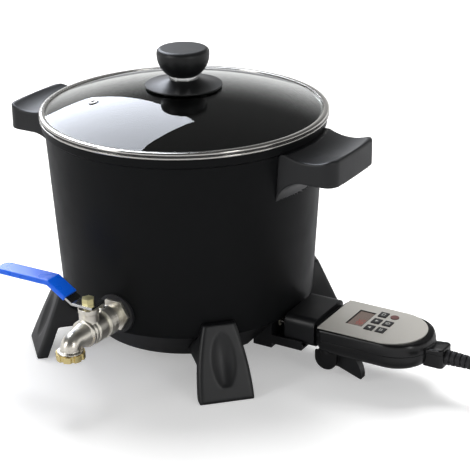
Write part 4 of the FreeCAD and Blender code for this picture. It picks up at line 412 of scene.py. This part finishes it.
SLOT_MATERIALS = {
    "pot_coating": COATING, "steel": STEEL, "nickel": NICKEL, "chrome": CHROME, "brass": BRASS,
    "black_plastic": PHENOLIC, "gloss_black": GLOSSY, "glass": GLASS, "smoked_window": PANE,
    "digits": MODULE_PAINTED_GLOW, "face": PLATE, "board": BOARD, "key_rubber": SILICONE, "power_red": ROSE,
    "gasket": GASKET, "blue_sleeve": VINYL, "seat": SEAT, "ceramic": CERAMIC, "cord": CORD_JACKET,
}
NODE_MATERIALS = {
    "lid_band": RIM_STEEL, "valve_lever": BLADE_STEEL, "lever_nut": PASSIVATED, "valve_stem": PASSIVATED,
    "lid_knob": KNOB, "knob_plate": KNOB, "heating_element": SHEATH,
}

node_slots = {entry["node"]: entry["material_slot"] for entry in frame["record"]["subparts"]}
for name, cad_piece in nodes.items():
    for slot in cad_piece.material_slots:
        slot.material = NODE_MATERIALS.get(name, SLOT_MATERIALS[node_slots[name]])


# ---------------------------------------------------------------- pieces

# The smallest distance between corners that stay apart.
MERGE = 0.001
# Edges turned by more than this many degrees stay sharp on a piece with clean edges; a cast one has none.
SHARP = 35
NEVER_SHARP = 180


def add_shape(shape, other, place):
    """Adds one shape to another, put in its place."""
    bmesh.ops.transform(other, matrix=place, verts=other.verts)
    spare = bpy.data.meshes.new("spare")
    other.to_mesh(spare)
    other.free()
    shape.from_mesh(spare)
    bpy.data.meshes.remove(spare)


def add_turned(shape, profile, place, ring=False, steps=128):
    """Adds a turned form: (radius, height) points in millimetres, spun round Z and put in place.
    A ring's last point joins its first; other profiles start and end on the axis."""
    turned = bmesh.new()
    line = [turned.verts.new((radius * MM, 0.0, height * MM)) for radius, height in profile]
    pairs = list(zip(line, line[1:])) + ([(line[-1], line[0])] if ring else [])
    edges = [turned.edges.new(pair) for pair in pairs]
    bmesh.ops.spin(turned, geom=line + edges, cent=(0, 0, 0), axis=(0, 0, 1), angle=math.tau, steps=steps,
                   use_merge=True)
    bmesh.ops.remove_doubles(turned, verts=turned.verts, dist=MERGE * MM)
    bmesh.ops.recalc_face_normals(turned, faces=turned.faces)
    add_shape(shape, turned, place)


def add_piece(name, mesh, body, material, replaced, sharp):
    """Makes a mesh a piece that moves with a body and stands for solids."""
    mesh.shade_smooth()
    mesh.set_sharp_from_angle(angle=math.radians(sharp))
    mesh.materials.clear()
    mesh.materials.append(material)
    piece = bpy.data.objects.new(name, mesh)
    scene.collection.objects.link(piece)
    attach(piece, body)
    if replaced:
        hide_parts(*replaced)


def clean_piece(name, shape, body, material, replaced=()):
    """A piece with its edges as they were cut."""
    mesh = bpy.data.meshes.new(name)
    shape.to_mesh(mesh)
    shape.free()
    add_piece(name, mesh, body, material, replaced, SHARP)


def cast_piece(name, shape, body, material, replaced, grid, rounds):
    """One skin over overlapping forms, with its edges rounded over as casting and moulding leave them.
    grid is the skin's step in millimetres, and more rounds soften its edges further."""
    mesh = bpy.data.meshes.new("rough")
    shape.to_mesh(mesh)
    shape.free()
    rough = bpy.data.objects.new("rough", mesh)
    scene.collection.objects.link(rough)
    skin = rough.modifiers.new("skin", "REMESH")
    skin.mode = "VOXEL"
    skin.voxel_size = grid * MM
    soften = rough.modifiers.new("soften", "SMOOTH")
    soften.factor = 0.5
    soften.iterations = rounds
    seen = rough.evaluated_get(bpy.context.evaluated_depsgraph_get())
    finished = bpy.data.meshes.new_from_object(seen)
    finished.name = name
    bpy.data.objects.remove(rough)
    bpy.data.meshes.remove(mesh)
    add_piece(name, finished, body, material, replaced, NEVER_SHARP)


def solid_copy(name):
    """Merged copy of a solid's mesh."""
    shape = bmesh.new()
    shape.from_mesh(nodes[name].data)
    bmesh.ops.remove_doubles(shape, verts=shape.verts, dist=MERGE * MM)
    return shape


def moulded(node, body, material, grid, rounds):
    """A solid with its edges rounded over."""
    cast_piece("moulded_" + node, solid_copy(node), body, material, [node], grid, rounds)


RIM_STEPS = 192


def lid_rim():
    """Rolled steel band: a locating lip inside, a bead above and below, and a groove between, with a dark
    ring in it as a painted reflection.
    """
    shape = bmesh.new()
    add_turned(shape, [
        (124.0, 215.9), (125.2, 215.9), (125.2, 220.5), (125.6, 220.9), (130.8, 220.9), (131.8, 221.1),
        (132.35, 221.6), (132.5, 222.2), (132.3, 222.8), (131.7, 223.1), (131.4, 223.4), (131.35, 224.2),
        (131.4, 224.5), (131.7, 224.8), (132.3, 225.1), (132.5, 225.7), (132.35, 226.4), (131.8, 227.0),
        (130.9, 227.3), (128.0, 227.3), (127.4, 227.1), (127.2, 226.7), (127.2, 226.1), (131.3, 226.1),
        (131.3, 222.1), (124.0, 222.1)], Matrix.Translation(POT), ring=True, steps=RIM_STEPS)
    clean_piece("rolled_rim", shape, "lid", RIM_STEEL, ["lid_band"])
    # Painted reflection: a dark rubber ring in the groove draws the dark line that the band mirrors between
    # its two bright beads.
    painted_dark_line = bmesh.new()
    add_turned(painted_dark_line, [(131.5, 223.5), (131.9, 223.7), (131.9, 224.1), (131.5, 224.3)],
               Matrix.Translation(POT), ring=True, steps=RIM_STEPS)
    clean_piece("rim_painted_dark_line", painted_dark_line, "lid", GASKET)


VALVE_HEIGHT = 67.5
BARREL_RADIUS = 14.2
RIDGE_DEPTH = 0.6
RIDGES = 6
RIDGE_PITCH = 1.5
RIDGES_FROM = -24.4
RIDGE_FALL = 0.5
GROOVE_FLOOR = 0.4
OUTLET_RADIUS = 8.6
OUTLET_REACH = 28.6
OUTLET_BEND = 5.5
CAST_GRID = 0.4
CAST_ROUNDS = 2


def valve_casting():
    """Ridged barrel, ball chamber, ringed flange, tapering outlet, spout and stem tower in one casting.
    Heights of the barrel and the outlet count from the stem towards the outlet."""
    shape = bmesh.new()
    towards_outlet = (Matrix.Translation(STEM + Vector((0, 0, VALVE_HEIGHT * MM)))
                      @ Matrix.Rotation(math.pi / 2, 4, "X"))
    foot = BARREL_RADIUS - RIDGE_DEPTH
    ridges = []
    for ridge in range(RIDGES):
        start = RIDGES_FROM + RIDGE_PITCH * ridge
        end = start + RIDGE_FALL
        ridges += [(BARREL_RADIUS, start), (foot, end), (foot, end + GROOVE_FLOOR)]
    barrel = [(0, -25.5), (13.7, -25.5), (BARREL_RADIUS, -25.0)] + ridges
    barrel += [(BARREL_RADIUS, -15.4), (13.7, -15.0), (12.0, -14.9), (12.0, -12.4)]
    ball_chamber = [(12.8, -12.0), (13.2, -11.4), (13.2, -0.2), (12.7, 0.6), (11.6, 0.8), (11.6, 1.7)]
    flange = [(12.5, 1.8), (12.5, 4.5), (11.5, 4.7), (11.5, 6.2), (12.5, 6.4), (12.5, 9.0), (12.0, 9.3)]
    outlet = [(10.9, 9.4), (10.6, 10.2), (8.9, 19.6), (OUTLET_RADIUS, 23.1), (0, 23.1)]
    add_turned(shape, barrel + ball_chamber + flange + outlet, towards_outlet)
    elbow = bmesh.new()
    mouth = towards_outlet @ Matrix.Translation((0, 0, (OUTLET_REACH - OUTLET_BEND) * MM))
    bmesh.ops.create_circle(elbow, cap_ends=True, segments=64, radius=OUTLET_RADIUS * MM, matrix=mouth)
    turn = STEM + Vector((0, (OUTLET_BEND - OUTLET_REACH) * MM, (VALVE_HEIGHT - OUTLET_BEND) * MM))
    bmesh.ops.spin(elbow, geom=elbow.verts[:] + elbow.edges[:] + elbow.faces[:], cent=turn, axis=(1, 0, 0),
                   angle=math.pi / 2, steps=24)
    bmesh.ops.holes_fill(elbow, edges=elbow.edges, sides=0)
    bmesh.ops.recalc_face_normals(elbow, faces=elbow.faces)
    add_shape(shape, elbow, Matrix())
    spout = [(0, 59.6), (6.5, 59.6), (6.5, 54.7), (8.5, 54.7), (8.5, 59.4)]
    spout_rim = [(11.0, 59.4), (11.4, 59.8), (11.4, 60.6), (11.0, 61.0), (9.2, 61.0)]
    spout_neck = [(OUTLET_RADIUS, 61.6), (OUTLET_RADIUS, 64.0), (0, 64.0)]
    add_turned(shape, spout + spout_rim + spout_neck,
               Matrix.Translation(STEM + Vector((0, -OUTLET_REACH * MM, 0))))
    add_turned(shape, [(0, VALVE_HEIGHT), (8.7, VALVE_HEIGHT), (8.7, 84.4), (9.2, 85.4), (9.2, 89.3),
                       (8.9, 89.6), (5.9, 89.6), (5.9, 85.7), (0, 85.7)], Matrix.Translation(STEM))
    cast_piece("valve_casting", shape, "pot", NICKEL, ["valve_body"], CAST_GRID, CAST_ROUNDS)


CASE_SEAM = 42.0
CASE_RISE = 10.6
CASE_BACK = 116.0
# The nose is round about this place on the case's middle line.
NOSE_CENTRE = 173.5
CASE_MIDDLE = POT.y / MM
CASE_HALF_WIDTH = 35.0
# Only the outer wall leans: its corners lie between these distances.
OUTER_WALL_FROM = 32.95
OUTER_WALL_TO = 35.1
CASE_LEAN = 2.6
# Part of the nose that falls away, and how far it falls at its tip.
NOSE_START = 198.0
NOSE_END = 208.6
NOSE_LENGTH = 10.5
NOSE_DROP = 3.4
# Heights and stations where the wall is cut, so that it can curve.
LEAN_LEVELS = (43.5, 45.0, 46.5, 47.8, 48.9, 49.8, 50.5, 51.2, 51.8)
DROP_STATIONS = (198.0, 200.0, 202.0, 203.8, 205.5, 207.0)
CASE_GRID = 0.5
CASE_ROUNDS = 3


def case_top():
    """Glossy upper half of the case: its sides lean in as they rise, and its nose falls away."""
    shape = solid_copy("controller_upper_shell")
    cuts = [((0, 0, level), (0, 0, 1)) for level in LEAN_LEVELS]
    cuts += [((station, 0, 0), (1, 0, 0)) for station in DROP_STATIONS]
    for place, facing in cuts:
        bmesh.ops.bisect_plane(shape, geom=shape.verts[:] + shape.edges[:] + shape.faces[:],
                               plane_co=Vector(place) * MM, plane_no=facing)
    for corner in shape.verts:
        x, y, z = corner.co / MM
        rise = min(1.0, max(0.0, (z - CASE_SEAM) / CASE_RISE))
        centre = Vector((min(x, NOSE_CENTRE), CASE_MIDDLE))
        out = Vector((x, y)) - centre
        allowed = CASE_HALF_WIDTH - CASE_LEAN * (1 - math.sqrt(1 - rise * rise))
        if x > CASE_BACK and max(allowed, OUTER_WALL_FROM) < out.length < OUTER_WALL_TO:
            held = centre + out * (allowed / out.length)
            corner.co.x = held.x * MM
            corner.co.y = held.y * MM
        if NOSE_START < x < NOSE_END:
            corner.co.z -= NOSE_DROP * ((x - NOSE_START) / NOSE_LENGTH) ** 2 * rise * MM
    bmesh.ops.recalc_face_normals(shape, faces=shape.faces)
    cast_piece("case_top", shape, "controller", GLOSSY,
               ["controller_upper_shell"], CASE_GRID, CASE_ROUNDS)


INK_HEIGHT = 0.1
INK_LINE = 0.5
ARROW_RADIUS = 2.1
KEY_TOP = 54.3
INK_LIFT = 0.02


def add_bar(shape, centre, size):
    """Adds a flat bar of ink or light, in millimetres."""
    bar = bmesh.new()
    bmesh.ops.create_cube(bar, size=1.0)
    bmesh.ops.scale(bar, vec=Vector(size) * MM, verts=bar.verts)
    add_shape(shape, bar, Matrix.Translation(Vector(centre) * MM))


def add_arrow(shape, centre, radius, turn):
    """Adds a three-cornered arrow, in millimetres, turned in its plane by degrees."""
    arrow = bmesh.new()
    bmesh.ops.create_circle(arrow, cap_ends=True, segments=3, radius=radius * MM)
    bmesh.ops.solidify(arrow, geom=arrow.faces[:], thickness=INK_HEIGHT * MM)
    place = Matrix.Translation(Vector(centre) * MM) @ Matrix.Rotation(math.radians(turn), 4, "Z")
    add_shape(shape, arrow, place)


DIGIT_HALF_HEIGHT = 2.8
DIGIT_HALF_WIDTH = 1.35
DIGIT_PITCH = 4.7
# Middle of the first digit: along the case, across it, and its height.
FIRST_DIGIT = (138.6, 25.4, 52.38)
SEGMENT_WIDTH = 0.5
SEGMENT_HEIGHT = 0.14
# The level segments overlap the others at their ends, and those leave a gap between them.
SEGMENT_LAP = 0.2
# Segments of a digit: place along and across it, and whether it lies level.
SEGMENTS = {"a": (-1, 0, True), "b": (-0.5, 1, False), "c": (0.5, 1, False), "d": (1, 0, True),
            "e": (0.5, -1, False), "f": (-0.5, -1, False), "g": (0, 0, True)}
LIT = {"1": "bc", "5": "afgcd", "8": "abcdefg"}


def display_digits():
    """Lit digits of a temperature, read from the lead's end of the case."""
    x, y, z = FIRST_DIGIT
    shape = bmesh.new()
    for place, digit in enumerate("185"):
        for segment in LIT[digit]:
            along, across, level = SEGMENTS[segment]
            if level:
                size = (SEGMENT_WIDTH, 2 * DIGIT_HALF_WIDTH + SEGMENT_LAP, SEGMENT_HEIGHT)
            else:
                size = (DIGIT_HALF_HEIGHT - SEGMENT_LAP, SEGMENT_WIDTH, SEGMENT_HEIGHT)
            middle = (x + along * DIGIT_HALF_HEIGHT,
                      y + DIGIT_PITCH * place + across * DIGIT_HALF_WIDTH, z)
            add_bar(shape, middle, size)
    clean_piece("display_digits", shape, "controller", DIGITS)


def key_middle(key):
    """Where the ink on a key lies, in millimetres."""
    low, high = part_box(key)
    return (low.x + high.x) / 2 / MM, (low.y + high.y) / 2 / MM, KEY_TOP + INK_LIFT


def key_mark(key, shape):
    """Printed mark, which moves with its key."""
    clean_piece(key.replace("_key", "_mark"), shape, key, PAD_INK)


def set_mark():
    """Oblong frame."""
    half_length, half_width = 2.1, 1.2
    x, y, z = key_middle("set_key")
    shape = bmesh.new()
    for side in (-1, 1):
        add_bar(shape, (x + half_width * side, y, z), (INK_LINE, 4.6, INK_HEIGHT))
        add_bar(shape, (x, y + half_length * side, z), (2.0, INK_LINE, INK_HEIGHT))
    key_mark("set_key", shape)


def arrow_mark(key, turn):
    """Arrow, turned by degrees."""
    shape = bmesh.new()
    add_arrow(shape, key_middle(key), ARROW_RADIUS, turn)
    key_mark(key, shape)


def timer_mark():
    """Clock: a ring and a hand."""
    inside, outside = 1.5, 2.1
    x, y, z = key_middle("timer_key")
    shape = bmesh.new()
    add_turned(shape, [(inside, 0.0), (outside, 0.0), (outside, INK_HEIGHT), (inside, INK_HEIGHT)],
               Matrix.Translation(Vector((x, y, z - INK_HEIGHT / 2)) * MM), ring=True, steps=32)
    add_bar(shape, (x - 0.4, y, z), (1.4, 0.45, INK_HEIGHT))
    key_mark("timer_key", shape)


def mode_mark():
    """Pair of bars."""
    x, y, z = key_middle("mode_key")
    shape = bmesh.new()
    for side in (-1, 1):
        add_bar(shape, (x + 0.9 * side, y, z), (0.7, 4.4, INK_HEIGHT))
    key_mark("mode_key", shape)


lid_rim()
valve_casting()
moulded("lever_sleeve", "lever", VINYL, grid=0.4, rounds=8)
for handle in ("handle_left", "handle_right"):
    moulded(handle, "pot", PHENOLIC, grid=0.5, rounds=18)
for foot in ("foot_front_left", "foot_front_right", "foot_rear_left", "foot_rear_right"):
    moulded(foot, "pot", PHENOLIC, grid=0.9, rounds=14)
case_top()
display_digits()
set_mark()
arrow_mark("down_key", 270)
arrow_mark("up_key", 90)
timer_mark()
mode_mark()


# ---------------------------------------------------------------- lead

CORD_RADIUS = 3.5 * MM
# In metres: where the lead comes out of the case, leaves its relief and lands on the table.
CORD_EXIT = (0.262, 0.034448, 0.0373)
CORD_LEAVES = (0.293, 0.034448, 0.0373)
CORD_LANDS = (0.335143, 0.016, 0.0035)
COIL_CENTRE = Vector((0.345155, -0.032353, 0.0))
OUTER_TURN = 42 * MM
INNER_TURN = 35 * MM
LOW_TURN = CORD_RADIUS
HIGH_TURN = 3 * CORD_RADIUS
# Angles of the coil, in degrees from its side away from the pot. The lead runs clockwise, so they fall.
COIL_START = 60
COIL_END = -1080
COIL_STEP = 15
# Where the coil draws in to its inner turn, climbs onto itself, and spreads out again.
DRAWS_IN = (-225, -285)
CLIMBS = (-560, -625)
SPREADS_OUT = (-935, -985)
# How far the lead reaches into the plug.
PLUG_OVERLAP = 4 * MM


def ease(angle, start, end):
    """Smooth rise from 0 to 1 while an angle goes from start down to end."""
    share = min(1.0, max(0.0, (start - angle) / (start - end)))
    return share * share * (3 - 2 * share)


def coil_point(angle):
    """A point of the coiled lead's line, at one of those angles."""
    inwards = ease(angle, *DRAWS_IN) - ease(angle, *SPREADS_OUT)
    upwards = ease(angle, *CLIMBS)
    radius = OUTER_TURN + (INNER_TURN - OUTER_TURN) * inwards
    # A curve of this degree runs this much inside its control points.
    radius /= math.cos(math.radians(COIL_STEP) / 2)
    height = LOW_TURN + (HIGH_TURN - LOW_TURN) * upwards
    turn = math.radians(angle)
    return COIL_CENTRE + Vector((radius * math.cos(turn), radius * math.sin(turn), height))


def lead():
    """Rubber-jacketed lead: out of the relief, down to the table, three coiled turns, into its plug."""
    route = [CORD_EXIT, CORD_LEAVES, CORD_LANDS]
    route += [coil_point(angle) for angle in range(COIL_START, COIL_END - 1, -COIL_STEP)]
    plug_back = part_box("plug")[1].y
    route.append((COIL_CENTRE.x + OUTER_TURN, plug_back - PLUG_OVERLAP, HIGH_TURN))
    curve = bpy.data.curves.new("mains_lead", "CURVE")
    curve.dimensions = "3D"
    curve.bevel_depth = CORD_RADIUS
    curve.bevel_resolution = 5
    curve.resolution_u = 8
    curve.use_fill_caps = True
    line = curve.splines.new("NURBS")
    line.points.add(len(route) - 1)
    for point, place in zip(line.points, route):
        point.co = (*place, 1.0)
    line.order_u = 3
    line.use_endpoint_u = True
    curve.materials.append(CORD_JACKET)
    piece = bpy.data.objects.new("mains_lead", curve)
    scene.collection.objects.link(piece)
    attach(piece, "controller")
    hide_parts("cord", "cord_coil")


lead()
